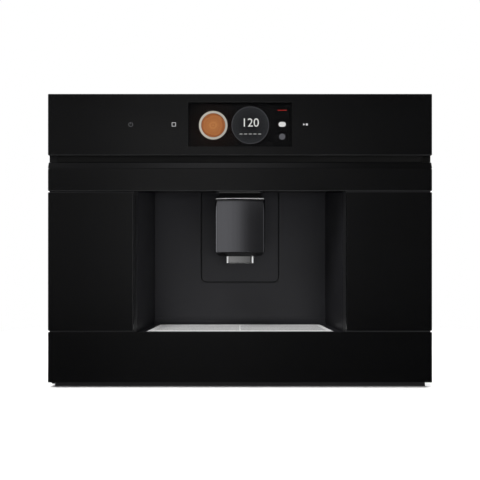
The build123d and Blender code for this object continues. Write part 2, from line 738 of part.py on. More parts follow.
def door_frame():
    """Plastic frame of the door, a tray open to the back, with the lined opening of the niche."""
    x = (-HALF + EDGE_INSET, HALF - EDGE_INSET)
    z = (Z_DOOR_BOTTOM + EDGE_INSET, Z_DOOR_TOP)
    wall = DOOR_WALL
    frame = block(x, (GLASS, D_LINER), z)
    frame -= block(
        (x[0] + wall, x[1] - wall), (GLASS + wall, D_LINER + 1), (z[0] + wall, z[1] - wall)
    )
    hole_z = (Z_SILL - SILL_DROP, Z_BAND_BOTTOM + NICHE_TOP_RISE)
    collar = block(
        (-NICHE_HALF - wall, NICHE_HALF + wall),
        (GLASS, D_DOOR_BACK),
        (hole_z[0] - wall, hole_z[1] + wall),
    )
    frame += collar
    frame -= block((-NICHE_HALF, NICHE_HALF), (GLASS - 1, D_DOOR_BACK + 1), hole_z)
    boss = BUSH_RADIUS + BUSH_WALL
    boss_length = BUSH_LENGTH + BUSH_END
    for z_boss in ((z[0], z[0] + boss_length), (z[1] - boss_length, z[1])):
        frame += block((x[0], HINGE_X + boss), (GLASS, D_LINER), z_boss)
    bore = BUSH_RADIUS + RUN
    frame -= column(HINGE_X, PIVOT_DEPTH, bore, (z[0] - 1, z[0] + BUSH_LENGTH))
    frame -= column(HINGE_X, PIVOT_DEPTH, bore, (z[1] - BUSH_LENGTH, z[1] + 1))
    for screw_x, screw_z in liner_screw_places():
        frame += bar(screw_x, screw_z, POST_RADIUS, (GLASS, D_LINER))
        frame -= bar(screw_x, screw_z, SCREW_SHANK + SCREW_PLAY, (GLASS + wall + POST_FLOOR, D_LINER + 1))
    return frame


def door_liner():
    """Inner cover of the door, screwed to the frame, with pockets for the magnets."""
    inset = DOOR_LINER_INSET
    d = (D_LINER, D_DOOR_BACK)
    through = (d[0] - 1, d[1] + 1)
    z = (Z_DOOR_BOTTOM + inset, Z_DOOR_TOP - inset / 2)
    liner = front_plate((-HALF + inset, HALF - inset), z, d, DOOR_LINER_CORNER)
    hole_x = NICHE_HALF + DOOR_WALL + FIT
    hole_z = (Z_SILL - SILL_DROP - DOOR_WALL - FIT, Z_BAND_BOTTOM + NICHE_TOP_RISE + DOOR_WALL + FIT)
    liner -= block((-hole_x, hole_x), through, hole_z)
    for x, z in magnet_places():
        liner -= block(half_range(x, MAGNET[0] + 2 * FIT), through, half_range(z, MAGNET[1] + 2 * FIT))
    for x, z in liner_screw_places():
        liner -= bar(x, z, SCREW_SHANK + SCREW_PLAY, through)
    return liner


def magnet_places():
    """Centres of the two door magnets, near the free edge."""
    return [(FLANGE_HALF - MAGNET[0], z) for z in (Z_SILL - MAGNET_LOW, Z_SIDE_TOP - MAGNET_HIGH)]


def liner_screw_places():
    """Centres of the screws that hold the liner on the frame's posts."""
    x = NICHE_HALF + DOOR_WALL + LINER_SCREW_SIDE
    heights = (Z_SILL - LINER_SCREW_LOW, (Z_SIDE_BOTTOM + Z_SIDE_TOP) / 2, Z_DOOR_TOP - LINER_SCREW_HIGH)
    return [(side * x, z) for side in (-1, 1) for z in heights]


def door_magnets():
    """Magnets that hold the door shut against the steel frame."""
    d = (D_LINER - MAGNET_SUNK, D_DOOR_BACK + MAGNET_PROUD)
    return together(block(half_range(x, MAGNET[0]), d, half_range(z, MAGNET[1])) for x, z in magnet_places())


def hinge_bushes():
    """Plain bearings for the hinge pins at the bottom and the top of the door."""
    z0, z1 = Z_DOOR_BOTTOM + EDGE_INSET, Z_DOOR_TOP
    pieces = []
    for z in ((z0, z0 + BUSH_LENGTH), (z1 - BUSH_LENGTH, z1)):
        bush = column(HINGE_X, PIVOT_DEPTH, BUSH_RADIUS, z)
        pieces.append(bush - column(HINGE_X, PIVOT_DEPTH, PIN_RADIUS + RUN, (z[0] - 1, z[1] + 1)))
    return together(pieces)


def hinge_brackets():
    """Lower hinge plate on the ledge and upper hinge block in the grip gap, each with its pin."""
    left = -HALF + EDGE_INSET
    z = (LEDGE_HEIGHT, Z_DOOR_BOTTOM - HINGE_CLEARANCE)
    plate = block((left, left + HINGE_PLATE), (PIVOT_DEPTH, D_FLANGE), z)
    plate += column(HINGE_X, PIVOT_DEPTH, BUSH_RADIUS, z)
    lower = plate + column(HINGE_X, PIVOT_DEPTH, PIN_RADIUS, (z[0], Z_DOOR_BOTTOM + PIN_REACH))
    block_z = (Z_DOOR_TOP + HINGE_CLEARANCE, Z_CONTROL + EDGE_INSET)
    upper = block((left, left + HINGE_BLOCK), (GLASS, D_FLANGE), block_z)
    upper += column(HINGE_X, PIVOT_DEPTH, PIN_RADIUS, (Z_DOOR_TOP - PIN_REACH, block_z[1]))
    return together([lower, upper])


# ---------------------------------------------------------------- niche
def niche_liner():
    """Side walls, ceiling, floor and rear frame of the niche, with the holders of the guide rods."""
    outer = NICHE_HALF + NICHE_WALL
    floor_z = Z_FLOOR - FLOOR_THICKNESS
    shell = block((-outer, outer), (D_BODY, D_LINER_BACK), (floor_z, Z_CEILING + NICHE_WALL))
    shell += block((-outer, outer), (D_FLANGE + DOOR_GAP / 4, D_BODY), (floor_z, Z_DOOR_TOP - 1))
    shell -= block((-NICHE_HALF, NICHE_HALF), (D_FLANGE - 1, D_PANEL_BACK), (Z_FLOOR, Z_CEILING))
    slot = (slot_z()[0] - 1, slot_z()[1] + 1)
    shell -= block(half_range(0, NECK_WIDTH + 4), (NICHE_DEPTH, D_LINER_BACK + 1), slot)
    hole_x = half_range(0, GRILLE_WIDTH - 2 * GRILLE_LAP)
    hole_d = (GRILLE_FRONT + GRILLE_LAP, GRILLE_FRONT + GRILLE_DEPTH - GRILLE_LAP)
    shell -= block(hole_x, hole_d, (floor_z - 1, Z_FLOOR + 1))
    for x in half_range(0, MAIN_BOARD[0] - 2 * BOARD_POST_INSET):
        for d in half_range(D_BOARD + MAIN_BOARD[1] / 2, MAIN_BOARD[1] - 2 * BOARD_POST_INSET):
            shell += column(x, d, BOARD_POST, (Z_CEILING + NICHE_WALL, Z_BOARD))
    low, high = rod_z()
    foot_x = NECK_WIDTH / 2 + BLIND_LAP + 1
    width = ROD_PITCH + 2 * CARRIAGE_OVERHANG
    for centre in (low + ROD_HOLDER / 2 - CARRIAGE_LAP, high - ROD_HOLDER / 2 + CARRIAGE_LAP):
        z = half_range(centre, ROD_HOLDER)
        shell += block(half_range(0, width), (D_CARRIAGE, D_CARRIAGE + CARRIAGE_DEPTH), z)
        for side in (-1, 1):
            x = sorted((side * foot_x, side * width / 2))
            shell += block(x, (D_LINER_BACK, D_CARRIAGE), z)
    for x in (-ROD_PITCH / 2, ROD_PITCH / 2):
        shell -= column(x, D_RODS, ROD_RADIUS + 0.02, (low, high))
    return shell


def niche_back():
    """Rear wall of the niche, with a groove beside the side walls, a coved foot and the outlet panel's cut-out."""
    half = NICHE_HALF - CORNER_GROOVE
    z = (Z_FLOOR, Z_CEILING - CORNER_GROOVE)
    d = (NICHE_DEPTH, D_PANEL_BACK)
    panel = block((-half, half), d, z)
    cove_z = (Z_FLOOR, Z_FLOOR + COVE)
    foot = block((-half, half), (NICHE_DEPTH - COVE, NICHE_DEPTH), cove_z)
    foot -= cross_bar(NICHE_DEPTH - COVE, Z_FLOOR + COVE, COVE - COVE_LIP, (-half - 1, half + 1))
    foot -= block((-half - 1, half + 1), (NICHE_DEPTH - COVE - 1, NICHE_DEPTH - COVE + COVE_LIP), cove_z)
    cut_half = OUTLET_PANEL_WIDTH / 2 + PANEL_GROOVE
    cut = front_plate(
        (-cut_half, cut_half),
        (Z_OUTLET_PANEL - PANEL_GROOVE, z[1] + 2 * OUTLET_PANEL_CORNER),
        (d[0] - 1, d[1] + 1),
        OUTLET_PANEL_CORNER + PANEL_GROOVE,
    )
    return panel + foot - cut


def outlet_panel():
    """Panel behind the outlet with round lower corners and the slot that the neck runs in."""
    half = OUTLET_PANEL_WIDTH / 2
    top = Z_CEILING - CORNER_GROOVE
    d = (NICHE_DEPTH, D_PANEL_BACK)
    through = (d[0] - 1, d[1] + 1)
    past = top + 2 * OUTLET_PANEL_CORNER
    panel = front_plate((-half, half), (Z_OUTLET_PANEL, past), d, OUTLET_PANEL_CORNER)
    panel -= block((-half - 1, half + 1), through, (top, past + 1))
    return panel - block(half_range(0, NECK_WIDTH + 2), through, slot_z())


def drip_grille():
    """Stainless grille over the drip tray, with rows of slots and a rim that drops into the floor."""
    x = half_range(0, GRILLE_WIDTH)
    d = (GRILLE_FRONT, GRILLE_FRONT + GRILLE_DEPTH)
    plate = block(x, d, (Z_FLOOR, Z_FLOOR + GRILLE_SHEET))
    inset = GRILLE_LAP + FIT
    rim_x, rim_d = (x[0] + inset, x[1] - inset), (d[0] + inset, d[1] - inset)
    rim = block(rim_x, rim_d, (Z_FLOOR - GRILLE_RIM, Z_FLOOR))
    rim -= block(
        (rim_x[0] + GRILLE_RIM_WALL, rim_x[1] - GRILLE_RIM_WALL),
        (rim_d[0] + GRILLE_RIM_WALL, rim_d[1] - GRILLE_RIM_WALL),
        (Z_FLOOR - GRILLE_RIM - 1, Z_FLOOR + 1),
    )
    pitch_x = (GRILLE_WIDTH - 2 * GRILLE_MARGIN - GRILLE_SLOT_LENGTH) / (GRILLE_SLOTS - 1)
    pitch_d = (GRILLE_DEPTH - 2 * GRILLE_MARGIN - GRILLE_SLOT_WIDTH) / (GRILLE_ROWS - 1)
    first_x = x[0] + GRILLE_MARGIN + GRILLE_SLOT_LENGTH / 2
    first_d = d[0] + GRILLE_MARGIN + GRILLE_SLOT_WIDTH / 2
    outline = Sketch() + [
        Pos(first_x + pitch_x * i, FRONT_Y + first_d + pitch_d * row)
        * SlotOverall(GRILLE_SLOT_LENGTH, GRILLE_SLOT_WIDTH)
        for i in range(GRILLE_SLOTS)
        for row in range(GRILLE_ROWS)
    ]
    return plate + rim - extrude(Pos(0, 0, Z_FLOOR - 1) * outline, GRILLE_SHEET + 2)


# ---------------------------------------------------------------- outlet
def head_profile(half, front, crown, back, z):
    """Upright prism with a gently curved front, from z[0] to z[1]."""
    y_front, y_edge, y_back = FRONT_Y + front, FRONT_Y + front + crown, FRONT_Y + back
    outline = make_face(
        [
            ThreePointArc((-half, y_edge), (0, y_front), (half, y_edge)),
            Line((half, y_edge), (half, y_back)),
            Line((half, y_back), (-half, y_back)),
            Line((-half, y_back), (-half, y_edge)),
        ]
    )
    return extrude(Pos(0, 0, z[0]) * outline, z[1] - z[0])


def rounded_front(prism, radius):
    """The prism with its two front upright edges rounded."""
    edges = prism.edges().filter_by(Axis.Z).sort_by(Axis.Y)[:2]
    return fillet(edges, radius)


def outlet_cover():
    """Metal shell over the front and sides of the outlet, with a bright bevel along its top."""
    half = HEAD_WIDTH / 2
    z = (Z_HEAD, Z_HEAD_TOP)
    back = HEAD_FRONT + HEAD_DEPTH - COVER_SHORT
    shell = rounded_front(head_profile(half, HEAD_FRONT, HEAD_CROWN, back, z), HEAD_CORNER)
    top_edges = shell.faces().sort_by(Axis.Z)[-1].edges().sort_by(Axis.Y)[:-1]
    shell = chamfer(top_edges, COVER_TOP_BEVEL)
    inner_z = (z[0] - 1, z[1] + 1)
    core = head_profile(half - COVER_WALL, HEAD_FRONT + COVER_WALL, HEAD_CROWN, back + 1, inner_z)
    return shell - rounded_front(core, HEAD_CORNER - COVER_WALL)


def outlet_body():
    """Plastic body of the outlet inside its cover, with the sloping roof and the collar of the spout."""
    half = HEAD_WIDTH / 2 - COVER_WALL - FIT
    front = HEAD_FRONT + COVER_WALL + FIT
    back = HEAD_FRONT + HEAD_DEPTH
    core = head_profile(half, front, HEAD_CROWN, back, (Z_HEAD + HEAD_STEP, Z_HEAD_TOP))
    core = rounded_front(core, HEAD_CORNER - COVER_WALL)
    low_depth = back - front - HEAD_CROWN
    low = Pos(0, FRONT_Y + back - low_depth / 2, Z_HEAD_TOP) * Rectangle(2 * half, low_depth)
    high_depth = low_depth - ROOF_FRONT
    high = Pos(0, FRONT_Y + back - high_depth / 2, Z_HEAD_TOP + ROOF_HEIGHT)
    roof = loft([low.face(), (high * Rectangle(2 * (half - ROOF_SIDE), high_depth)).face()], ruled=True)
    collar_width, collar_depth = SPOUT_WIDTH + 2 * COLLAR_REACH, SPOUT_DEPTH + 2 * COLLAR_REACH
    collar_front = HEAD_FRONT + SPOUT_SETBACK - COLLAR_REACH
    collar_z = (Z_HEAD - COLLAR_HEIGHT, Z_HEAD + HEAD_STEP)
    collar = upright_prism(collar_width, collar_depth, SPOUT_CORNER + 2, 0, collar_front, collar_z)
    body = core + roof + collar
    wall = OUTLET_BODY_WALL
    for side in (-1, 1):
        x = sorted((side * (NECK_WIDTH / 2 + wall), side * (half - wall)))
        hollow_z = (Z_HEAD + wall, Z_HEAD_TOP - wall)
        body -= block(x, (front + HEAD_CROWN + wall, back + 1), hollow_z)
    for x in (-COFFEE_BORE_PITCH / 2, COFFEE_BORE_PITCH / 2):
        bore_d = HEAD_FRONT + SPOUT_SETBACK + SPOUT_DEPTH / 2
        body -= column(x, bore_d, COFFEE_BORE, (Z_HEAD - COLLAR_HEIGHT - 1, Z_HEAD + COFFEE_BORE_DEPTH))
    return body


def spout():
    """Bright metal spout with two coffee bores."""
    z = (Z_HEAD - COLLAR_HEIGHT - SPOUT_HEIGHT, Z_HEAD - COLLAR_HEIGHT)
    front = HEAD_FRONT + SPOUT_SETBACK
    body = upright_prism(SPOUT_WIDTH, SPOUT_DEPTH, SPOUT_CORNER, 0, front, z)
    body = chamfer(body.faces().sort_by(Axis.Z)[0].edges(), SPOUT_BEVEL)
    for x in (-COFFEE_BORE_PITCH / 2, COFFEE_BORE_PITCH / 2):
        body -= column(x, front + SPOUT_DEPTH / 2, COFFEE_BORE, (z[0] - 1, z[1] + 1))
    return body


def carriage():
    """Sliding block on the two rods behind the niche, with the neck that carries the outlet."""
    width = ROD_PITCH + 2 * CARRIAGE_OVERHANG
    z = (Z_NECK - CARRIAGE_LAP, Z_NECK_TOP + CARRIAGE_LAP)
    body = block(half_range(0, width), (D_CARRIAGE, D_CARRIAGE + CARRIAGE_DEPTH), z)
    neck_d = (HEAD_FRONT + HEAD_DEPTH, D_CARRIAGE)
    body += block(half_range(0, NECK_WIDTH), neck_d, (Z_NECK, Z_NECK_TOP))
    for x in (-ROD_PITCH / 2, ROD_PITCH / 2):
        body -= column(x, D_RODS, ROD_RADIUS + RUN, (z[0] - 1, z[1] + 1))
    return body


def slot_blind():
    """Thin plate that rides with the neck and covers the slot from behind."""
    low, high = slot_z()
    half = NECK_WIDTH / 2 + BLIND_LAP
    d = (D_BLIND, D_BLIND + BLIND)
    plate = block((-half, half), d, (low - OUTLET_UP - 2, high + OUTLET_DOWN + 2))
    hole_z = (Z_NECK - 0.1, Z_NECK_TOP + 0.1)
    return plate - block(half_range(0, NECK_WIDTH + 0.2), (d[0] - 1, d[1] + 1), hole_z)


def rod_z():
    """Heights of the two rod ends."""
    reach = CARRIAGE_LAP + ROD_HOLDER + CARRIAGE_LAP
    return (Z_NECK - OUTLET_DOWN - reach, Z_NECK_TOP + OUTLET_UP + reach)


def guide_rods():
    """Two steel rods that guide the outlet up and down."""
    z = rod_z()
    return together(column(x, D_RODS, ROD_RADIUS, z) for x in (-ROD_PITCH / 2, ROD_PITCH / 2))


# ---------------------------------------------------------------- drip tray
def tray_x():
    """Sides of the drip tray."""
    return (-BAY_OUTER + 1, NICHE_HALF - 1)


def drip_tray():
    """Tray below the niche and the brew unit."""
    left, right = tray_x()
    z = (Z_TRAY, Z_TRAY_TOP)
    return open_box(right - left, TRAY_DEPTH, 4, TRAY_WALL, (left + right) / 2, D_TRAY, z)


def grounds_container():
    """Container for used coffee, in the left part of the drip tray."""
    z0 = Z_TRAY + TRAY_WALL
    d = D_TRAY + TRAY_WALL + GROUNDS_PLAY
    depth = TRAY_DEPTH - 2 * (TRAY_WALL + GROUNDS_PLAY)
    left = tray_x()[0] + TRAY_WALL + GROUNDS_PLAY
    width = BAY_WIDTH - 6
    return open_box(width, depth, 6, GROUNDS_WALL, left + width / 2, d, (z0, Z_TRAY_TOP + TRAY_WALL - GROUNDS_DROP))


# ---------------------------------------------------------------- right bay
def bay_shelves():
    """Shelves of the side bays: under the tank, under the brew unit and under the bean container."""
    inner, outer = NICHE_HALF + NICHE_WALL, BODY_HALF - SHEET
    low = (Z_SHELF, Z_SHELF + SHELF)
    tank = block((inner, outer), (D_FASCIA_BACK, D_FASCIA_BACK + TANK_DEPTH + SHELF_PAST), low)
    brew = block((-outer, -inner), (D_FASCIA_BACK, D_FASCIA_BACK + BREW_DEPTH + BREW_SHELF_PAST), low)
    brew -= slab(GROUNDS_HOLE, GROUNDS_HOLE, SHELF + 2, -BAY_CENTRE, D_BODY + GROUNDS_HOLE_SETBACK, Z_SHELF - 1)
    high = (BEAN_SHELF_Z, BEAN_SHELF_Z + SHELF)
    bean = block((-outer, -inner), (D_FASCIA_BACK, D_BODY + BEAN_DEPTH + 2 * SHELF_PAST), high)
    bean -= column(-BAY_CENTRE, GRINDER_D, BEAN_HOLE, (high[0] - 1, high[1] + 1))
    guide_d = (GUIDE_DEPTH, GUIDE_DEPTH + GUIDE_LENGTH)
    bean += block(half_range(KNOB_X, GUIDE_WIDTH), guide_d, (Z_KNOB - GUIDE_WIDTH / 2, BEAN_SHELF_Z))
    bean -= bar(KNOB_X, Z_KNOB, KNOB_SHAFT + RUN, (guide_d[0] - 1, guide_d[1] + 1))
    return together([tank, brew, bean])


def tank_dock():
    """Dock that the water tank stands on, with its valve seat and hose outlet."""
    z0 = Z_SHELF + SHELF
    width = TANK_WIDTH + 2 * DOCK_SIDE
    dock = slab(width, TANK_DEPTH, DOCK_HEIGHT - FIT, BAY_CENTRE, D_TANK, z0)
    dock -= column(BAY_CENTRE, D_TANK_STUB, TANK_STUB + 2, (z0 + 2, z0 + DOCK_HEIGHT))
    end = D_TANK + TANK_DEPTH
    return dock + bar(BAY_CENTRE, z0 + DOCK_HEIGHT / 2, HOSE_RADIUS, (end, end + NIPPLE))


def water_tank():
    """Removable water tank, open at the top, with its outlet stub."""
    tank = open_box(TANK_WIDTH, TANK_DEPTH, TANK_CORNER, TANK_WALL, BAY_CENTRE, D_TANK, (Z_TANK, Z_TANK_TOP))
    tank += column(BAY_CENTRE, D_TANK_STUB, TANK_STUB, (Z_TANK - 4, Z_TANK + TANK_WALL))
    return tank - column(BAY_CENTRE, D_TANK_STUB, TANK_STUB - TANK_STUB_WALL, (Z_TANK - 5, Z_TANK + TANK_WALL + 1))


def tank_lid():
    """Lid of the water tank, with its handle recess."""
    z = (Z_TANK_TOP, Z_TANK_TOP + TANK_LID)
    lid = upright_prism(TANK_WIDTH, TANK_DEPTH, TANK_CORNER, BAY_CENTRE, D_TANK, z)
    grip_z = (z[0] + LID_GRIP_FLOOR, z[1] + 1)
    return lid - upright_prism(*LID_GRIP, LID_GRIP_CORNER, BAY_CENTRE, D_TANK + TANK_CORNER, grip_z)


def switch_housing():
    """Housing of the mains switch in the fascia, with the pin that the rocker turns on."""
    wall = SWITCH_WALL
    x = half_range(SWITCH_X, SWITCH_SIZE[0] - 2 * FIT)
    z = half_range(SWITCH_Z, SWITCH_SIZE[1] - 2 * FIT)
    housing = block(x, (D_BODY, D_BODY + SWITCH_DEPTH), z)
    rim = SWITCH_RIM_WIDTH
    housing += block((x[0] - rim, x[1] + rim), (D_BODY - SWITCH_RIM, D_BODY), (z[0] - rim, z[1] + rim))
    cavity_d = (D_BODY - SWITCH_RIM - 1, D_BODY + SWITCH_CAVITY)
    housing -= block((x[0] + wall, x[1] - wall), cavity_d, (z[0] + wall, z[1] - wall))
    return housing + cross_bar(D_BODY + ROCKER_PIVOT, SWITCH_Z, ROCKER_PIN, (x[0] + wall, x[1] - wall))


def mains_rocker():
    """Rocker of the mains switch, a shallow V that tips about its pin; its upper half is pressed in."""
    half_w = SWITCH_SIZE[0] / 2 - FIT - SWITCH_WALL - ROCKER_SIDE_GAP
    half_h = SWITCH_SIZE[1] / 2 - FIT - SWITCH_WALL - ROCKER_GAP
    front = FRONT_Y + D_BODY + ROCKER_FRONT
    narrow = half_h - ROCKER_GAP
    section = Polyline(
        (front, SWITCH_Z + half_h),
        (front + ROCKER_DISH, SWITCH_Z),
        (front, SWITCH_Z - half_h),
        (front + ROCKER_EDGE, SWITCH_Z - narrow),
        (front + ROCKER_BACK, SWITCH_Z - ROCKER_BACK_HALF),
        (front + ROCKER_BACK, SWITCH_Z + ROCKER_BACK_HALF),
        (front + ROCKER_EDGE, SWITCH_Z + narrow),
        close=True,
    )
    place = Plane(origin=(SWITCH_X - half_w, 0, 0), x_dir=(0, 1, 0), z_dir=(1, 0, 0))
    rocker = extrude(place * make_face(section), 2 * half_w)
    through = half_range(SWITCH_X, SWITCH_SIZE[0])
    rocker -= cross_bar(D_BODY + ROCKER_PIVOT, SWITCH_Z, ROCKER_PIN + RUN, through)
    pin = Axis((SWITCH_X, FRONT_Y + D_BODY + ROCKER_PIVOT, SWITCH_Z), (1, 0, 0))
    return rocker.rotate(pin, -SWITCH_TILT)


# ---------------------------------------------------------------- left bay


def bean_container():
    """Pull-out bean container with the outlet above the grinder."""
    z = (Z_BEANS, Z_BEAN_LID)
    box = open_box(BAY_WIDTH - 2 * BEAN_GAP, BEAN_DEPTH, 5, BEAN_WALL, -BAY_CENTRE, D_BODY + 1, z)
    return box - column(-BAY_CENTRE, GRINDER_D, BEAN_HOLE, (z[0] - 1, z[0] + BEAN_WALL + 1))


def bean_lid():
    """Lid of the bean container."""
    z = (Z_BEAN_LID, Z_BEAN_LID + BEAN_LID)
    lid = upright_prism(BAY_WIDTH - 2 * BEAN_GAP, BEAN_DEPTH, 5, -BAY_CENTRE, D_BODY + 1, z)
    grip_z = (z[0] + LID_GRIP_FLOOR, z[1] + 1)
    return lid - upright_prism(*LID_GRIP, LID_GRIP_CORNER, -BAY_CENTRE, D_BODY + TANK_CORNER, grip_z)


def chamber_d():
    """Depth of the brew chamber's axis."""
    return D_BREW + CHAMBER_SETBACK


def brew_frame():
    """Frame of the brew unit with its front cover, the chamber's seat, the upper sieve plug and the guides."""
    x, d = -BAY_CENTRE, D_BREW
    wall = BREW_WALL
    z = (Z_BREW, Z_BREW + BREW_HEIGHT)
    frame = slab(BREW_WIDTH, BREW_DEPTH, BREW_HEIGHT, x, d, z[0])
    inside = (BREW_WIDTH - 2 * wall, BREW_DEPTH, BREW_HEIGHT - 2 * wall)
    frame -= slab(*inside, x, d + wall, z[0] + wall)
    seat_half = CHAMBER_RADIUS + SEAT_MARGIN
    seat = slab(inside[0], 2 * seat_half, SEAT, x, chamber_d() - seat_half, chamber_z()[0] + SEAT)
    seat -= column(x, chamber_d(), CHAMBER_RADIUS + CHAMBER_WALL + 0.1, chamber_z())
    frame += seat
    roof = z[1] - wall
    frame += column(x, chamber_d(), CHAMBER_RADIUS - FIT, (chamber_z()[1] - 3, chamber_z()[1] + 2))
    frame += column(x, chamber_d(), CHAMBER_RADIUS - 6, (chamber_z()[1] + 2, roof))
    frame -= column(x, chamber_d() - SPINDLE_OFFSET, SPINDLE_RADIUS + RUN, (roof - 1, z[1] + 1))
    feed_d = chamber_d() + CHUTE_SETBACK + CHUTE_WALL
    frame -= slab(CHUTE_WIDTH, CHUTE_OUTLET, wall + 2, x, feed_d, roof - 1)
    guide_x = half_range(x - LATCH_OFFSET + LATCH_GUIDE_LENGTH / 2 - 2, LATCH_GUIDE_LENGTH)
    for centre in (Z_LATCH - LATCH_GUIDE / 2 - 0.2, Z_LATCH + LATCH_HEIGHT + LATCH_GUIDE / 2 + 0.2):
        frame += block(guide_x, (D_BREW - LATCH_SHEET - FIT, D_BREW), half_range(centre, LATCH_GUIDE))
    return frame + slab(BREW_GRIP[0], 2, BREW_GRIP[1], x, D_BREW - 2, z[1] - BREW_GRIP_DROP)


def chamber_z():
    """Bottom and top of the brew chamber."""
    top = Z_BREW + BREW_HEIGHT - BREW_WALL - CHAMBER_DROP
    return (top - CHAMBER_HEIGHT, top)


def brew_chamber():
    """Cylinder that coffee is pressed in, with a collar that rests on the frame's seat."""
    x, z = -BAY_CENTRE, chamber_z()
    tube = column(x, chamber_d(), CHAMBER_RADIUS + CHAMBER_WALL, z)
    collar_z = (z[0] + 2 * SEAT + 0.1, z[0] + 2 * SEAT + 0.1 + CHAMBER_COLLAR_HEIGHT)
    tube += column(x, chamber_d(), CHAMBER_RADIUS + CHAMBER_WALL + CHAMBER_COLLAR, collar_z)
    return tube - column(x, chamber_d(), CHAMBER_RADIUS, (z[0] - 1, z[1] + 1))


def piston_z():
    """Bottom and top of the lower piston's head at rest."""
    low = chamber_z()[0]
    return (low - PISTON_SUNK, low - PISTON_SUNK + PISTON_HEIGHT)


def brew_piston():
    """Lower piston with its rod and the arm and nut that the spindle moves."""
    x, z = -BAY_CENTRE, piston_z()
    arm_z = (Z_BREW + BREW_WALL + 1, Z_BREW + BREW_WALL + 1 + ARM_HEIGHT)
    piston = column(x, chamber_d(), CHAMBER_RADIUS - RUN, z)
    piston += column(x, chamber_d(), PISTON_ROD, (arm_z[0], z[0]))
    spindle_d = chamber_d() - SPINDLE_OFFSET
    piston += block(half_range(x, ARM_WIDTH), (spindle_d, chamber_d()), arm_z)
    piston += column(x, spindle_d, SPINDLE_RADIUS + ARM_NUT, (arm_z[0], arm_z[1] + ARM_NUT))
    return piston - column(x, spindle_d, SPINDLE_RADIUS + RUN, (arm_z[0] - 1, arm_z[1] + ARM_NUT + 1))


def brew_spindle():
    """Lead screw of the brew unit, with its thrust collar under the top plate."""
    x, d = -BAY_CENTRE, chamber_d() - SPINDLE_OFFSET
    top = Z_BREW + BREW_HEIGHT
    rod = column(x, d, SPINDLE_RADIUS, (Z_BREW + BREW_WALL + FIT, top + SPINDLE_END))
    collar_top = top - BREW_WALL - 0.2
    collar_z = (collar_top - SPINDLE_COLLAR_HEIGHT, collar_top)
    return rod + column(x, d, SPINDLE_RADIUS + SPINDLE_COLLAR, collar_z)


def brew_motor():
    """Gear motor on top of the brew unit that turns the spindle."""
    x, d = -BAY_CENTRE, chamber_d() - SPINDLE_OFFSET
    z0 = Z_BREW + BREW_HEIGHT
    motor = column(x, d, GEARMOTOR_RADIUS, (z0, z0 + GEARMOTOR_HEIGHT))
    ear, ear_height = GEARMOTOR_EAR
    motor += slab(2 * GEARMOTOR_RADIUS + ear, ear, ear_height, x, d - ear / 2, z0)
    return motor - column(x, d, SPINDLE_RADIUS + 0.1, (z0 - 1, z0 + SPINDLE_END + 2))


def brew_latch():
    """Sliding catch on the front of the brew unit that locks it in the machine."""
    x0 = -BAY_CENTRE - LATCH_OFFSET
    z = (Z_LATCH, Z_LATCH + LATCH_HEIGHT)
    front = D_BREW - 0.1 - LATCH_SHEET
    plate = block((x0, x0 + LATCH_WIDTH), (front, D_BREW - 0.1), z)
    grip_x = half_range(x0 + LATCH_GRIP + 1, LATCH_GRIP)
    return plate + block(grip_x, (front - LATCH_GRIP_HEIGHT, front), (z[0] + 2, z[1] - 2))


# ---------------------------------------------------------------- grinder
def grinder_housing():
    """Pot of the grinder, open at the top, with the powder chute at its front."""
    x, z = -BAY_CENTRE, (Z_GRINDER, Z_GRINDER_TOP)
    inner = GRINDER_RADIUS - GRINDER_WALL
    floor = z[0] + GRINDER_WALL
    front = chamber_d() + CHUTE_SETBACK
    outlet_z = Z_BREW + BREW_HEIGHT + 1
    outside = half_range(x, CHUTE_WIDTH + 2 * CHUTE_WALL)
    pot = column(x, GRINDER_D, GRINDER_RADIUS, z)
    pot += block(outside, (front, GRINDER_D), (floor - CHUTE_WALL, floor + CHUTE_HEIGHT + CHUTE_WALL))
    pot += block(outside, (front, front + CHUTE_OUTLET + 2 * CHUTE_WALL), (outlet_z, floor))
    pot -= column(x, GRINDER_D, inner, (floor, z[1] + 1))
    inside, start = half_range(x, CHUTE_WIDTH), front + CHUTE_WALL
    pot -= block(inside, (start, GRINDER_D), (floor, floor + CHUTE_HEIGHT))
    pot -= block(inside, (start, start + CHUTE_OUTLET), (outlet_z - 1, floor + 1))
    return pot - column(x, GRINDER_D, MOTOR_SHAFT + RUN, (z[0] - 1, floor + 1))


def burr_ring():
    """Fixed ring burr with a conical bore and cutting flutes."""
    x = -BAY_CENTRE
    inner = GRINDER_RADIUS - GRINDER_WALL
    ring = column(x, GRINDER_D, inner, (Z_BURR, Z_BURR + BURR_HEIGHT))
    hollow = Cone(BURR_RADIUS + BURR_GAP, BURR_TOP_RADIUS + BURR_GAP, BURR_HEIGHT)
    ring -= Pos(x, FRONT_Y + GRINDER_D, Z_BURR + BURR_HEIGHT / 2) * hollow
    for index in range(BURR_FLUTES):
        turn = Rot(0, 0, 360 / BURR_FLUTES * index)
        flute = turn * Pos(BURR_RADIUS - 2, 0, 0) * Box(*FLUTE, BURR_HEIGHT)
        ring -= Pos(x, FRONT_Y + GRINDER_D, Z_BURR + BURR_HEIGHT - 3) * flute
    return ring


def burr_cone():
    """Turning cone burr with its shaft down into the motor."""
    x = -BAY_CENTRE
    cone = Cone(BURR_RADIUS, BURR_TOP_RADIUS, BURR_HEIGHT)
    for index in range(BURR_FLUTES // 2):
        turn = Rot(0, 0, 720 / BURR_FLUTES * index)
        cone -= turn * Pos(BURR_RADIUS - 3, 0, 4) * Box(*FLUTE, BURR_HEIGHT)
    cone = Pos(x, FRONT_Y + GRINDER_D, Z_BURR + BURR_HEIGHT / 2) * cone
    return cone + column(x, GRINDER_D, MOTOR_SHAFT, (Z_GRINDER - MOTOR_SHAFT_DEPTH, Z_BURR + 1))


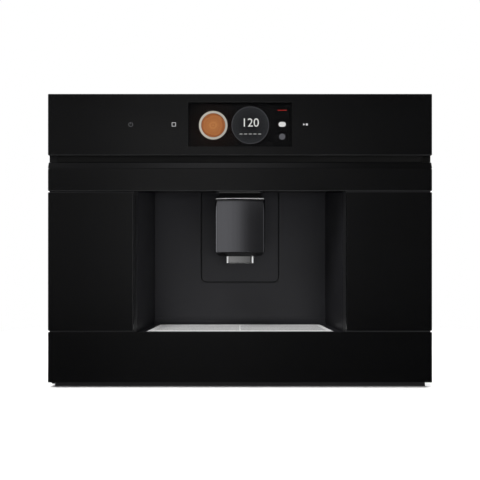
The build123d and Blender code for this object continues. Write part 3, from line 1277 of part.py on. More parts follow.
def grinder_motor():
    """Motor under the grinder, with its terminal block."""
    x = -BAY_CENTRE
    z = (Z_GRINDER - MOTOR_HEIGHT, Z_GRINDER)
    motor = column(x, GRINDER_D, MOTOR_RADIUS, z)
    motor += slab(*MOTOR_TERMINAL, x, GRINDER_D + MOTOR_RADIUS - 4, z[0] + 4)
    bore = (z[1] - MOTOR_SHAFT_DEPTH - 0.5, z[1] + 1)
    return motor - column(x, GRINDER_D, MOTOR_SHAFT + RUN, bore)


def brackets():
    """Two folded sheet stands on the base, one under the grinder's motor and one under the heater."""
    half = MOTOR_RADIUS + STAND_MARGIN
    grinder = stand(-BAY_CENTRE, GRINDER_D - half, 2 * half, 2 * half, Z_GRINDER - MOTOR_HEIGHT)
    heater_stand = stand(HEATER_X, HEATER_D, HEATER_SIZE[0] - 20, HEATER_SIZE[1], HEATER_Z)
    return together([grinder, heater_stand])


def slot_z():
    """Bottom and top of the slot that the neck runs in."""
    return (Z_NECK - OUTLET_DOWN - 1, Z_NECK_TOP + OUTLET_UP + 1)


def grind_knob():
    """Knob of the grind setting behind the door, on its long shaft to the grinder."""
    d = (D_BODY - KNOB_PROUD, D_BODY - KNOB_PROUD + KNOB_LENGTH)
    knob = bar(KNOB_X, Z_KNOB, KNOB_RADIUS, d)
    mark_z = (Z_KNOB + KNOB_SHAFT, Z_KNOB + KNOB_RADIUS + 1)
    knob -= block(half_range(KNOB_X, KNOB_MARK), (d[0] - 1, d[0] + KNOB_MARK / 2), mark_z)
    collar = GUIDE_DEPTH + GUIDE_LENGTH + 2
    knob += bar(KNOB_X, Z_KNOB, KNOB_SHAFT, (d[1], collar + KNOB_COLLAR_LENGTH))
    return knob + bar(KNOB_X, Z_KNOB, KNOB_SHAFT + KNOB_COLLAR, (collar, collar + KNOB_COLLAR_LENGTH))


# ---------------------------------------------------------------- water circuit
def pump():
    """Vibration pump: coil block, piston tube and both connections."""
    coil_w, coil_d, coil_h = PUMP_COIL
    coil = block(half_range(PUMP_X, coil_w), half_range(PUMP_D, coil_d), half_range(PUMP_Z, coil_h))
    tube = cross_bar(PUMP_D, PUMP_Z, PUMP_RADIUS, half_range(PUMP_X, PUMP_LENGTH))
    return coil + tube + cross_bar(PUMP_D, PUMP_Z, HOSE_RADIUS, half_range(PUMP_X, PUMP_LENGTH + 2 * NIPPLE))


def pump_mounts():
    """Two rubber saddles that keep the pump's shaking from the base."""
    pieces = []
    reach = PUMP_LENGTH / 2 - SADDLE_INSET
    for x in (PUMP_X - reach, PUMP_X + reach):
        saddle = block(half_range(x, SADDLE[0]), half_range(PUMP_D, SADDLE[1]), (SHEET, PUMP_Z + SADDLE_RISE))
        pieces.append(saddle - cross_bar(PUMP_D, PUMP_Z, PUMP_RADIUS, half_range(x, SADDLE[0] + 2)))
    return together(pieces)


def heater():
    """Thermoblock heater: cast block with fins and both connections."""
    width, depth, height = HEATER_SIZE
    body = slab(width, depth, height, HEATER_X, HEATER_D, HEATER_Z)
    for index in range(HEATER_FINS):
        z = HEATER_Z + HEATER_MARGIN + HEATER_PITCH * index
        groove_d = HEATER_D + depth - HEATER_SLOT
        body -= slab(width - 2 * HEATER_EDGE, HEATER_SLOT + 1, HEATER_SLOT, HEATER_X, groove_d, z)
    reach = width / 2 + NIPPLE
    return body + cross_bar(HEATER_D + depth / 2, HEATER_Z + NIPPLE_Z, HOSE_RADIUS, half_range(HEATER_X, 2 * reach))


def stand(x, d, width, depth, top):
    """Folded stand with two legs on the base."""
    piece = slab(width, depth, BRACKET_SHEET, x, d, top - BRACKET_SHEET)
    for side in (-1, 1):
        leg_x = sorted((x + side * width / 2, x + side * (width / 2 - BRACKET_SHEET)))
        piece += block(leg_x, (d, d + depth), (SHEET, top - BRACKET_SHEET))
    return piece


def hoses():
    """Suction hose from the tank's dock to the pump, pressure hose to the heater and hose to the brew unit."""
    dock_z = Z_SHELF + SHELF + DOCK_HEIGHT / 2
    dock_d = D_TANK + TANK_DEPTH + NIPPLE
    pump_reach = PUMP_LENGTH / 2 + NIPPLE
    heater_reach = HEATER_SIZE[0] / 2 + NIPPLE
    heater_d = HEATER_D + HEATER_SIZE[1] / 2
    heater_z = HEATER_Z + NIPPLE_Z
    suction = [
        (BAY_CENTRE, dock_d, dock_z),
        (BAY_CENTRE, dock_d + HOSE_SWING, dock_z),
        (BAY_CENTRE - HOSE_SWING / 2, dock_d + 2 * HOSE_SWING, dock_z - HOSE_RISE),
        (BAY_CENTRE - 2 * HOSE_SWING, PUMP_D, PUMP_Z + HOSE_RADIUS),
        (PUMP_X + pump_reach + HOSE_LEAD, PUMP_D, PUMP_Z),
        (PUMP_X + pump_reach, PUMP_D, PUMP_Z),
    ]
    pressure = [
        (PUMP_X - pump_reach, PUMP_D, PUMP_Z),
        (PUMP_X - pump_reach - HOSE_LEAD, PUMP_D, PUMP_Z),
        (PUMP_X - pump_reach - HOSE_SWING, PUMP_D + HOSE_SWING, PUMP_Z + HOSE_RISE),
        (HEATER_X + heater_reach + HOSE_RISE, heater_d, heater_z - HOSE_RISE),
        (HEATER_X + heater_reach + HOSE_SWING, heater_d, heater_z),
        (HEATER_X + heater_reach, heater_d, heater_z),
    ]
    side = -BAY_CENTRE + BREW_WIDTH / 2
    brew_z = Z_BREW + BREW_HEIGHT / 2
    brew_d = D_BREW + BREW_DEPTH - NIPPLE
    brew = [
        (HEATER_X - heater_reach, heater_d, heater_z),
        (HEATER_X - heater_reach - HOSE_LEAD, heater_d, heater_z),
        (side + 2 * HOSE_LEAD, brew_d + 2 * HOSE_SWING, brew_z),
        (side + HOSE_SWING, brew_d, brew_z),
        (side, brew_d, brew_z),
    ]
    return together(hose(route) for route in (suction, pressure, brew))


# ---------------------------------------------------------------- electrics
def control_board():
    """Control board above the niche, with relays, a transformer, capacitors and a connector."""
    width, depth = MAIN_BOARD
    top = Z_BOARD + BOARD
    board = slab(width, depth, BOARD, 0, D_BOARD, Z_BOARD)
    for index in range(RELAYS):
        board += slab(*RELAY, -RELAY_SIDE + RELAY_PITCH * index, D_BOARD + PART_MARGIN, top)
    board += slab(*TRANSFORMER, TRANSFORMER_X, D_BOARD + PART_MARGIN, top)
    radius, tall = CAPACITOR
    for index in range(CAPACITORS):
        x = -CAPACITOR_SIDE + CAPACITOR_PITCH * index
        board += column(x, D_BOARD + CAPACITOR_SETBACK, radius, (top, top + tall))
    return board + slab(*CONNECTOR, TRANSFORMER_X, D_BOARD + CONNECTOR_SETBACK, top)


def mains_inlet():
    """Three-pole mains inlet in the rear cover."""
    width, height = INLET_SIZE
    inlet = block(half_range(INLET_X, width), (D_REAR - INLET_DEPTH, D_REAR), half_range(INLET_Z, height))
    flange_d = (D_REAR - SHEET - INLET_FLANGE_SHEET, D_REAR - SHEET)
    flange = (half_range(INLET_X, width + 2 * INLET_FLANGE), half_range(INLET_Z, height + 2 * INLET_FLANGE))
    inlet += block(flange[0], flange_d, flange[1])
    hole_width, hole_height, hole_depth = INLET_CAVITY
    hole = (half_range(INLET_X, hole_width), half_range(INLET_Z, hole_height))
    inlet -= front_plate(*hole, (D_REAR - hole_depth, D_REAR + 1), INLET_CAVITY_CORNER)
    pin_width, pin_height, pin_length = INLET_PIN
    pin_d = (D_REAR - hole_depth - 1, D_REAR - hole_depth - 1 + pin_length)
    for dx, dz in INLET_PINS:
        inlet += block(half_range(INLET_X + dx, pin_width), pin_d, half_range(INLET_Z + dz, pin_height))
    return inlet


# ---------------------------------------------------------------- fasteners
def rear_screws():
    """Screws of the rear cover, with crossed slots."""
    screws = []
    for x, z in rear_screw_places():
        piece = bar(x, z, SCREW_HEAD, (D_REAR, OVERALL_DEPTH))
        length, width, depth = SCREW_CROSS
        recess_d = (OVERALL_DEPTH - depth, OVERALL_DEPTH + 1)
        piece -= block(half_range(x, width), recess_d, half_range(z, length))
        piece -= block(half_range(x, length), recess_d, half_range(z, width))
        screws.append(piece + bar(x, z, SCREW_SHANK, (D_REAR - SCREW_LENGTH, D_REAR)))
    return together(screws)


def liner_screws():
    """Screws of the door liner."""
    screws = []
    for x, z in liner_screw_places():
        head = bar(x, z, SCREW_HEAD, (D_DOOR_BACK, D_DOOR_BACK + LINER_HEAD))
        screws.append(head + bar(x, z, SCREW_SHANK, (D_DOOR_BACK - SCREW_LENGTH, D_DOOR_BACK)))
    return together(screws)


NODES = {
    "base_pan": base_pan,
    "side_panels": side_panels,
    "top_cover": top_cover,
    "rear_cover": rear_cover,
    "rear_screws": rear_screws,
    "mains_inlet": mains_inlet,
    "front_frame": front_frame,
    "inner_fascia": inner_fascia,
    "hinge_brackets": hinge_brackets,
    "control_glass": control_glass,
    "control_carrier": control_carrier,
    "display_lens": display_lens,
    "display_module": display_module,
    "grip_bar": grip_bar,
    "band_pane": lambda: pane((-HALF, HALF), (Z_BAND_BOTTOM, Z_BAND_TOP)),
    "side_panes": side_panes,
    "bottom_pane": lambda: pane((-HALF, HALF), (Z_DOOR_BOTTOM, Z_SILL)),
    "door_frame": door_frame,
    "door_liner": door_liner,
    "door_magnets": door_magnets,
    "liner_screws": liner_screws,
    "hinge_bushes": hinge_bushes,
    "niche_liner": niche_liner,
    "niche_back": niche_back,
    "outlet_panel": outlet_panel,
    "drip_grille": drip_grille,
    "outlet_cover": outlet_cover,
    "outlet_body": outlet_body,
    "spout": spout,
    "outlet_carriage": carriage,
    "slot_blind": slot_blind,
    "guide_rods": guide_rods,
    "drip_tray": drip_tray,
    "grounds_container": grounds_container,
    "bay_shelves": bay_shelves,
    "tank_dock": tank_dock,
    "water_tank": water_tank,
    "tank_lid": tank_lid,
    "switch_housing": switch_housing,
    "mains_rocker": mains_rocker,
    "bean_container": bean_container,
    "bean_lid": bean_lid,
    "brew_frame": brew_frame,
    "brew_chamber": brew_chamber,
    "brew_piston": brew_piston,
    "brew_spindle": brew_spindle,
    "brew_motor": brew_motor,
    "brew_latch": brew_latch,
    "grinder_housing": grinder_housing,
    "burr_ring": burr_ring,
    "burr_cone": burr_cone,
    "grinder_motor": grinder_motor,
    "grind_knob": grind_knob,
    "brackets": brackets,
    "pump": pump,
    "pump_mounts": pump_mounts,
    "heater": heater,
    "hoses": hoses,
    "control_board": control_board,
}

os.makedirs("parts", exist_ok=True)
for name, make in NODES.items():
    export_step(make(), f"parts/{name}.step")
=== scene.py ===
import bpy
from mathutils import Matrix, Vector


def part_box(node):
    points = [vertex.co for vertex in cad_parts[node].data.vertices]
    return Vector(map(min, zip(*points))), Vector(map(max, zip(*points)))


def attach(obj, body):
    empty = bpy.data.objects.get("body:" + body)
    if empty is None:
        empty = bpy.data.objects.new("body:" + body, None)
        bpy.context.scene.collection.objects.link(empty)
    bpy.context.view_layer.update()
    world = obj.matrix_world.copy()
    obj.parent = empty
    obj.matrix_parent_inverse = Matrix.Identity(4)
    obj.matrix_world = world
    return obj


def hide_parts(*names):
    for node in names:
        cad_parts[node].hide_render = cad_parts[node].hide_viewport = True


bl_info = {
    "name": "Built-in coffee machine",
    "version": (1, 0, 0),
    "blender": (4, 5, 0),
    "location": "View3D > Sidebar > Coffee machine",
    "description": "Finishes and fine pieces of a built-in coffee machine on its CAD frame",
    "category": "Object",
}

import math

import bmesh
import bpy
from mathutils import Matrix, Vector

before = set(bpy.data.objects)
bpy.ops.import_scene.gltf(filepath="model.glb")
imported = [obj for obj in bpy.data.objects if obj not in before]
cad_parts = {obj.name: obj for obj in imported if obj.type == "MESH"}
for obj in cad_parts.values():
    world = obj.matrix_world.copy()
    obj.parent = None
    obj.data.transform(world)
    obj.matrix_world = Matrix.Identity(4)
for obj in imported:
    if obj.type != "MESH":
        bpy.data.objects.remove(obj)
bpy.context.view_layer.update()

MM = 0.001
WELD = 1e-6
FLAT_ANGLE, SHARP_ANGLE = 0.4, 32.0
DEGREES = 180 / math.pi
ALONG_X, ALONG_Z = (30.0, 1800.0, 1800.0), (1800.0, 1800.0, 30.0)
FLOAT, VECTOR, GEOMETRY = "NodeSocketFloat", "NodeSocketVector", "NodeSocketGeometry"
SOCKETS = {float: FLOAT, int: "NodeSocketInt", tuple: VECTOR}
LENS_LOW, LENS_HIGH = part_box("display_lens")
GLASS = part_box("control_glass")[0]


# ---------------------------------------------------------------- sizes and colours to change
class FrontSettings(bpy.types.PropertyGroup):
    glass_colour: bpy.props.FloatVectorProperty(
        name="Glass colour", description="Black print behind the glass", subtype="COLOR",
        size=3, min=0, max=1, default=(0.0013, 0.0013, 0.0014))
    glass_roughness: bpy.props.FloatProperty(
        name="Glass roughness", description="Roughness of the polished glass", subtype="FACTOR",
        min=0, max=1, default=0.035)
    bar_colour: bpy.props.FloatVectorProperty(
        name="Grip bar colour", description="Anodised metal of the grip bar", subtype="COLOR",
        size=3, min=0, max=1, default=(0.082, 0.082, 0.085))
    symbol_width: bpy.props.FloatProperty(
        name="Symbol width", description="Width of a symbol on the control glass", unit="LENGTH", default=6.2 * MM)
    symbol_line: bpy.props.FloatProperty(
        name="Symbol line", description="Thickness of the symbols' lines", unit="LENGTH", default=0.75 * MM)
    display_glow: bpy.props.FloatProperty(
        name="Display glow", description="Brightness of the lit display", min=0, default=1.0)


class NicheSettings(bpy.types.PropertyGroup):
    wall_colour: bpy.props.FloatVectorProperty(
        name="Wall colour", description="Plastic of the niche", subtype="COLOR",
        size=3, min=0, max=1, default=(0.016, 0.016, 0.0178))
    grille_columns: bpy.props.IntProperty(
        name="Slots in a row", description="Slots across the drip grille", default=2, min=2)
    grille_rows: bpy.props.IntProperty(
        name="Rows of slots", description="Rows of slots from front to back", default=8, min=2)
    slot_length: bpy.props.FloatProperty(
        name="Slot length", description="Length of a slot across the grille", unit="LENGTH", default=141.5 * MM)
    slot_width: bpy.props.FloatProperty(
        name="Slot width", description="Width of a slot from front to back", unit="LENGTH", default=2.9 * MM)
    grille_margin: bpy.props.FloatProperty(
        name="Plain edge", description="Unslotted front and back edge", unit="LENGTH", default=14 * MM)
    grille_side: bpy.props.FloatProperty(
        name="Plain side", description="Unslotted edge at each side", unit="LENGTH", default=8 * MM)
    grille_sheet: bpy.props.FloatProperty(
        name="Grille sheet", description="Thickness of the grille", unit="LENGTH", default=0.8 * MM)
    cover_colour: bpy.props.FloatVectorProperty(
        name="Outlet cover colour", description="Dark satin metal of the outlet's cover", subtype="COLOR",
        size=3, min=0, max=1, default=(0.256, 0.257, 0.277))
    cover_roughness: bpy.props.FloatProperty(
        name="Outlet cover roughness", description="Roughness of the satin metal", subtype="FACTOR",
        min=0, max=1, default=0.13)


class BodySettings(bpy.types.PropertyGroup):
    hood_height: bpy.props.FloatProperty(
        name="Louvre height", description="Height of a louvre hood", unit="LENGTH", default=5.2 * MM)
    hood_depth: bpy.props.FloatProperty(
        name="Louvre depth", description="How far a louvre stands out", unit="LENGTH", default=1.5 * MM)
    head_radius: bpy.props.FloatProperty(
        name="Screw head radius", description="Radius of a screw head", unit="LENGTH", default=3.6 * MM)
    knob_ribs: bpy.props.IntProperty(
        name="Knob ribs", description="Ribs round the grind knob", default=28, min=3)


class DriveSettings(bpy.types.PropertyGroup):
    thread_pitch: bpy.props.FloatProperty(
        name="Thread pitch", description="Lead of the brew unit's spindle", unit="LENGTH", default=5 * MM)
    thread_ridge: bpy.props.FloatProperty(
        name="Thread ridge", description="Radius of the round thread", unit="LENGTH", default=0.6 * MM)


class StudioSettings(bpy.types.PropertyGroup):
    key_power: bpy.props.FloatProperty(
        name="Key lamp", description="Power of the lamp high in front", unit="POWER", default=23.5)
    front_power: bpy.props.FloatProperty(
        name="Front lamp", description="Power of the lamp level with the niche", unit="POWER", default=5.6)
    top_power: bpy.props.FloatProperty(
        name="Top lamp", description="Power of the lamp above", unit="POWER", default=22)
    back_power: bpy.props.FloatProperty(
        name="Back lamp", description="Power of the lamp behind", unit="POWER", default=30)
    sky: bpy.props.FloatProperty(name="Studio light", description="Even light from all round", min=0, default=0.3)


# ---------------------------------------------------------------- node helpers
def feed(tree, made, inputs):
    """Gives inputs of a node, by label or place, a socket or a value each; the node."""
    for place, value in inputs.items():
        if isinstance(value, bpy.types.NodeSocket):
            tree.links.new(value, made.inputs[place])
        else:
            made.inputs[place].default_value = value
    return made


def node(tree, kind, inputs=None, **settings):
    """A new node with its settings and its inputs."""
    made = tree.nodes.new(kind)
    for key, value in settings.items():
        setattr(made, key, value)
    return feed(tree, made, inputs or {})


def arithmetic(tree, operation, *values):
    """A math node on sockets or numbers; its output socket."""
    return node(tree, "ShaderNodeMath", dict(enumerate(values)), operation=operation).outputs[0]


def length_of(tree, vector):
    return node(tree, "ShaderNodeVectorMath", {0: vector}, operation="LENGTH").outputs["Value"]


def noise(tree, place, scale, detail):
    return node(tree, "ShaderNodeTexNoise", {"Vector": place, "Scale": scale, "Detail": detail}).outputs[0]


def mixed(tree, share, first, second):
    """Colour that is first where share is 0 and second where it is 1."""
    return node(tree, "ShaderNodeMix", {0: share, 6: first, 7: second}, data_type="RGBA").outputs[2]


def blend(tree, share, first, second):
    """Level that is first where share is 0 and second where it is 1."""
    return node(tree, "ShaderNodeMix", {0: share, 2: first, 3: second}, data_type="FLOAT").outputs[0]


def smooth_step(tree, value, low, high):
    """0 below low, 1 above high, smooth between."""
    limits = {"Value": value, "From Min": low, "From Max": high}
    return node(tree, "ShaderNodeMapRange", limits, interpolation_type="SMOOTHSTEP").outputs["Result"]


def curve_of(tree, value, points):
    """Smooth curve through (value, level) points, read at a socket; its output socket."""
    low, high, top = points[0][0], points[-1][0], max(level for _, level in points)
    place = node(tree, "ShaderNodeMapRange", {"Value": value, "From Min": low, "From Max": high})
    ramp = node(tree, "ShaderNodeFloatCurve", {"Value": place.outputs["Result"]})
    line = ramp.mapping.curves[0]
    while len(line.points) < len(points):
        line.points.new(0.5, 0.5)
    for point, (at, level) in zip(line.points, points):
        point.location = ((at - low) / (high - low), level / top)
        point.handle_type = "AUTO"
    ramp.mapping.update()
    return arithmetic(tree, "MULTIPLY", ramp.outputs[0], top)


def find(tree, kind):
    """The first node of a kind."""
    return next(made for made in tree.nodes if made.bl_idname == kind)


def group(name, kind, inputs, outputs):
    """An empty node group; its tree, its input sockets to read and its output node.

    Each socket has a label and its default, which sets its kind, or the kind alone as text.
    """
    tree = bpy.data.node_groups.new(name, kind)
    for way, sockets in (("INPUT", inputs), ("OUTPUT", outputs)):
        for label, value in sockets.items():
            if isinstance(value, str):
                tree.interface.new_socket(label, in_out=way, socket_type=value)
            else:
                made = tree.interface.new_socket(label, in_out=way, socket_type=SOCKETS[type(value)])
                made.default_value = value
    return tree, tree.nodes.new("NodeGroupInput").outputs, tree.nodes.new("NodeGroupOutput")


def shared_effect(name, outputs, **inputs):
    """Turns a function that fills a shader group into one that builds the group once.

    The function takes the tree and its input sockets, and returns what the group puts out.
    """
    labels = {"Position": VECTOR, **{key.replace("_", " ").capitalize(): value for key, value in inputs.items()}}
    def of_filler(fill):
        def effect():
            if name not in bpy.data.node_groups:
                tree, start, end = group(name, "ShaderNodeTree", labels, dict.fromkeys(outputs, FLOAT))
                feed(tree, end, dict(enumerate(fill(tree, *[start[label] for label in labels]))))
            return bpy.data.node_groups[name]
        return effect
    return of_filler


@shared_effect("Moulded grain", ("Height", "Tone"), grains_per_metre=900.0)
def moulded_grain(tree, position, grains):
    """Fine grain of moulded plastic, with a slow change of tone."""
    cells = node(tree, "ShaderNodeTexVoronoi", {"Vector": position, "Scale": grains})
    height = arithmetic(tree, "ADD", noise(tree, position, grains, 2.0), cells.outputs["Distance"])
    return height, noise(tree, position, 14.0, 3.0)


@shared_effect("Brushed lines", ("Height", "Tone"), lines_per_metre=ALONG_X)
def brushed_lines(tree, position, lines):
    """Fine lines along one direction, as brushing leaves them."""
    stretch = node(tree, "ShaderNodeVectorMath", {0: position, 1: lines}, operation="MULTIPLY").outputs[0]
    return noise(tree, stretch, 1.0, 3.0), noise(tree, stretch, 0.12, 1.0)


@shared_effect("Zinc flowers", ("Height", "Tone"), crystals_per_metre=90.0)
def zinc_flowers(tree, position, crystals):
    """Crystals of a zinc coat, each with its own tone."""
    cells = node(tree, "ShaderNodeTexVoronoi", {"Vector": position, "Scale": crystals})
    parted = node(tree, "ShaderNodeSeparateColor", {0: cells.outputs["Color"]}).outputs
    return parted[1], parted[0]


@shared_effect("Handling marks", ("Roughness",), roughness=0.4, marks=0.05)
def handling_marks(tree, position, roughness, marks):
    """Roughness with faint smudges of use."""
    smudge = arithmetic(tree, "SUBTRACT", noise(tree, position, 22.0, 4.0), 0.5)
    return (arithmetic(tree, "ADD", roughness, arithmetic(tree, "MULTIPLY", smudge, marks)),)


def blank(name):
    """A material with only its shader and output; (material, tree, shader, position socket)."""
    made = bpy.data.materials.new(name)
    made.use_nodes = True
    tree = made.node_tree
    tree.nodes.clear()
    shader = tree.nodes.new("ShaderNodeBsdfPrincipled")
    node(tree, "ShaderNodeOutputMaterial", {"Surface": shader.outputs[0]})
    return made, tree, shader, tree.nodes.new("ShaderNodeTexCoord").outputs["Object"]


def surface(name, colour, roughness, marks, effect, scale, change, depth=0.0, own=None):
    """A material whose tone, and relief of a depth in metres, follow a shared effect.

    The roughness has handling marks, or follows the relief where marks is None. own holds the
    shader's own values.
    """
    made, tree, shader, position = blank(name)
    step = node(tree, "ShaderNodeGroup", {0: position, 1: scale}, node_tree=effect())
    darker, lighter = ((*(min(1, c * (1 + way * change)) for c in colour), 1) for way in (-1, 1))
    inputs = {"Base Color": mixed(tree, step.outputs["Tone"], darker, lighter), **(own or {})}
    if depth:
        bump = {"Strength": 1.0, "Distance": depth, "Height": step.outputs["Height"]}
        inputs["Normal"] = node(tree, "ShaderNodeBump", bump).outputs[0]
    if marks is None:
        spread = arithmetic(tree, "MULTIPLY", step.outputs["Height"], 0.12)
        inputs["Roughness"] = arithmetic(tree, "ADD", spread, roughness)
    else:
        wear = {0: position, "Roughness": roughness, "Marks": marks}
        inputs["Roughness"] = node(tree, "ShaderNodeGroup", wear, node_tree=handling_marks()).outputs[0]
    feed(tree, shader, inputs)
    return made


def moulded(name, colour, roughness, grain=900.0, depth=0.00002, change=0.08, gloss=0.5):
    """Moulded plastic, rubber or lacquer with a fine grain."""
    own = {"Specular IOR Level": gloss}
    return surface(name, colour, roughness, 0.12, moulded_grain, grain, change, depth, own)


def brushed(name, colour, roughness, lines=ALONG_X, depth=0.000004, metallic=1.0):
    """Metal brushed or ground along one direction."""
    return surface(name, colour, roughness, 0.06, brushed_lines, lines, 0.06, depth, {"Metallic": metallic})


def galvanised(name, colour, roughness, crystals=90.0):
    """Zinc-coated sheet."""
    return surface(name, colour, roughness, None, zinc_flowers, crystals, 0.07, 0.000004, {"Metallic": 1.0})


def polished_glass(name, colour, roughness):
    """Glass printed black behind."""
    return surface(name, colour, roughness, 0.02, moulded_grain, 12.0, 0.15, own={"Specular IOR Level": 0.42})


def clear(name, colour, roughness, ior):
    """Clear or tinted plastic or glass."""
    own = {"Transmission Weight": 1.0, "IOR": ior}
    return surface(name, colour, roughness, 0.04, moulded_grain, 20.0, 0.02, own=own)


def lit(name, inner, outer, centre, reach, glow, rings=0.0, ring_colour=None):
    """Lit picture area whose colour runs from inner at a centre to outer, with optional rings."""
    made, tree, shader, position = blank(name)
    def do(operation, *values):
        return arithmetic(tree, operation, *values)
    move = node(tree, "ShaderNodeMapping", {"Vector": position, "Location": [-c for c in centre]}, vector_type="POINT")
    wobble = do("MULTIPLY", do("SUBTRACT", noise(tree, position, 90.0, 3.0), 0.5), 0.35)
    share = do("ADD", do("DIVIDE", length_of(tree, move.outputs[0]), reach), wobble)
    colour = mixed(tree, share, (*inner, 1), (*outer, 1))
    if rings:
        wave = do("SINE", do("MULTIPLY", share, rings))
        colour = mixed(tree, do("MULTIPLY", do("ADD", wave, 1.0), 0.5), colour, (*ring_colour, 1))
    feed(tree, shader, {
        "Base Color": (0.002, 0.002, 0.002, 1), "Roughness": 0.6, "Specular IOR Level": 0.0,
        "Emission Strength": glow, "Emission Color": colour})
    return made


# ---------------------------------------------------------------- mesh helpers
def paint(mesh, finish):
    mesh.materials.clear()
    mesh.materials.append(finish)


def dress(finish, *parts):
    """Gives CAD nodes a finish."""
    for part in parts:
        paint(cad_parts[part].data, finish)


def hosted(name, data):
    """A new object of the scene with this data."""
    made = bpy.data.objects.new(name, data)
    bpy.context.scene.collection.objects.link(made)
    return made


def piece(name, mesh, finish, body, stands_for=None):
    """A finished mesh as a piece that rides on a body, and may stand for a CAD node."""
    mesh.name = name
    paint(mesh, finish)
    made = hosted(name, mesh)
    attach(made, body)
    if stands_for:
        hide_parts(stands_for)
    return made


def from_bmesh(shape, smooth=None):
    """The mesh of a bmesh, shaded smooth below an angle in degrees."""
    mesh = bpy.data.meshes.new("shape")
    shape.to_mesh(mesh)
    shape.free()
    if smooth:
        mesh.shade_smooth()
        mesh.set_sharp_from_angle(angle=math.radians(smooth))
    return mesh


def welded(part):
    """The mesh of a CAD node as a bmesh with its doubled points merged."""
    shape = bmesh.new()
    shape.from_mesh(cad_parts[part].data)
    bmesh.ops.remove_doubles(shape, verts=shape.verts, dist=WELD)
    return shape


def softened(part, name, width, segments, finish, body):
    """A copy of a CAD node with its edges rounded, which stands for the node."""
    shape = welded(part)
    bmesh.ops.dissolve_limit(
        shape, angle_limit=math.radians(FLAT_ANGLE), verts=shape.verts, edges=shape.edges)
    host = hosted("softening", from_bmesh(shape, SHARP_ANGLE))
    rounding = host.modifiers.new("Rounding", "BEVEL")
    rounding.width = width
    rounding.segments = segments
    rounding.limit_method = "ANGLE"
    rounding.angle_limit = math.radians(SHARP_ANGLE)
    host.modifiers.new("Even shading", "WEIGHTED_NORMAL").keep_sharp = True
    return piece(name, baked(host), finish, body, part)


def second_finish(made, finish, chosen):
    """Another finish on the faces of a piece that a test of normal and centre chooses."""
    made.data.materials.append(finish)
    for face in made.data.polygons:
        if chosen(face.normal, face.center):
            face.material_index = len(made.data.materials) - 1


def baked(host):
    """The evaluated mesh of a helper object, which is then removed."""
    graph = bpy.context.evaluated_depsgraph_get()
    mesh = bpy.data.meshes.new_from_object(host.evaluated_get(graph), depsgraph=graph)
    bpy.data.objects.remove(host)
    return mesh


def bridged(rings):
    """Closed bmesh through rings of points, with a cap at each end."""
    shape = bmesh.new()
    rows = [[shape.verts.new(point) for point in ring] for ring in rings]
    for one, two in zip(rows, rows[1:]):
        for i in range(len(one)):
            j = (i + 1) % len(one)
            shape.faces.new((one[i], one[j], two[j], two[i]))
    shape.faces.new(rows[0][::-1])
    shape.faces.new(rows[-1])
    bmesh.ops.recalc_face_normals(shape, faces=shape.faces)
    return shape


def strip_of(corner, profile, left, right, smooth=None):
    """Mesh of a strip from left to right whose (y, z) profile is in mm from a (y, z) corner."""
    y, z = corner
    return from_bmesh(bridged([[(x, y + u * MM, z + v * MM) for u, v in profile] for x in (left, right)]), smooth)


def to_front(shape):
    """The mesh of a flat bmesh whose faces all look to the front."""
    shape.normal_update()
    for face in shape.faces:
        if face.normal.y > 0:
            face.normal_flip()
    return from_bmesh(shape)


def flat_shape(outline, y):
    """Mesh of a flat face through (x, z) points."""
    shape = bmesh.new()
    shape.faces.new([shape.verts.new((x, y, z)) for x, z in outline])
    bmesh.ops.triangulate(shape, faces=shape.faces)
    return to_front(shape)


def bar(x, z, width, height, y):
    """Mesh of a flat rectangle from its lower left corner."""
    return flat_shape([(x, z), (x + width, z), (x + width, z + height), (x, z + height)], y)


def circle(x, z, radius, count=64, start=0.0, sweep=360.0):
    """Points on an arc in degrees, from the right anticlockwise."""
    turns = [math.radians(start + sweep * i / count) for i in range(count if sweep >= 360 else count + 1)]
    return [(x + radius * math.cos(turn), z + radius * math.sin(turn)) for turn in turns]


def pill(x, z, width, height):
    """Outline of a bar with round ends."""
    r, half = height / 2, width / 2 - height / 2
    return circle(x + half, z, r, 12, -90, 180) + circle(x - half, z, r, 12, 90, 180)


def arc_band(x, z, radius, line, y, start=0.0, sweep=360.0, count=48):
    """Mesh of an arc of a given line width."""
    shape = bmesh.new()
    outer, inner = (
        [shape.verts.new((px, y, pz)) for px, pz in circle(x, z, radius + side * line / 2, count, start, sweep)]
        for side in (1, -1))
    for i in range(count):
        j = (i + 1) % len(outer)
        shape.faces.new((outer[i], inner[i], inner[j], outer[j]))
    return to_front(shape)


def merged(meshes):
    """One mesh from several."""
    shape = bmesh.new()
    for mesh in meshes:
        shape.from_mesh(mesh)
        bpy.data.meshes.remove(mesh)
    return from_bmesh(shape)


def number(text, size, x, z, y):
    """Plain digits as a flat mesh that looks to the front."""
    curve = bpy.data.curves.new("digits", "FONT")
    curve.body = text
    curve.size = size
    curve.align_x, curve.align_y = "CENTER", "CENTER"
    mesh = baked(hosted("digits", curve))
    bpy.data.curves.remove(curve)
    mesh.transform(Matrix.Translation((x, y, z)) @ Matrix.Rotation(math.radians(90), 4, "X"))
    return mesh


def island_centres(part):
    """Centres of the separate solids of a CAD node, in an order that every run keeps."""
    shape = welded(part)
    left, centres = set(shape.verts), []
    while left:
        found, edge = set(), [left.pop()]
        while edge:
            vert = edge.pop()
            found.add(vert)
            near = {e.other_vert(vert) for e in vert.link_edges} - found
            left -= near
            edge += near
        centres.append([(min(v.co[i] for v in found) + max(v.co[i] for v in found)) / 2 for i in range(3)])
    shape.free()
    return sorted(centres)


# ---------------------------------------------------------------- geometry node trees
def rule(name, inputs):
    """An empty geometry tree with named inputs and one for its finish."""
    return group(name, "GeometryNodeTree", {**inputs, "Finish": "NodeSocketMaterial"}, {"Geometry": GEOMETRY})


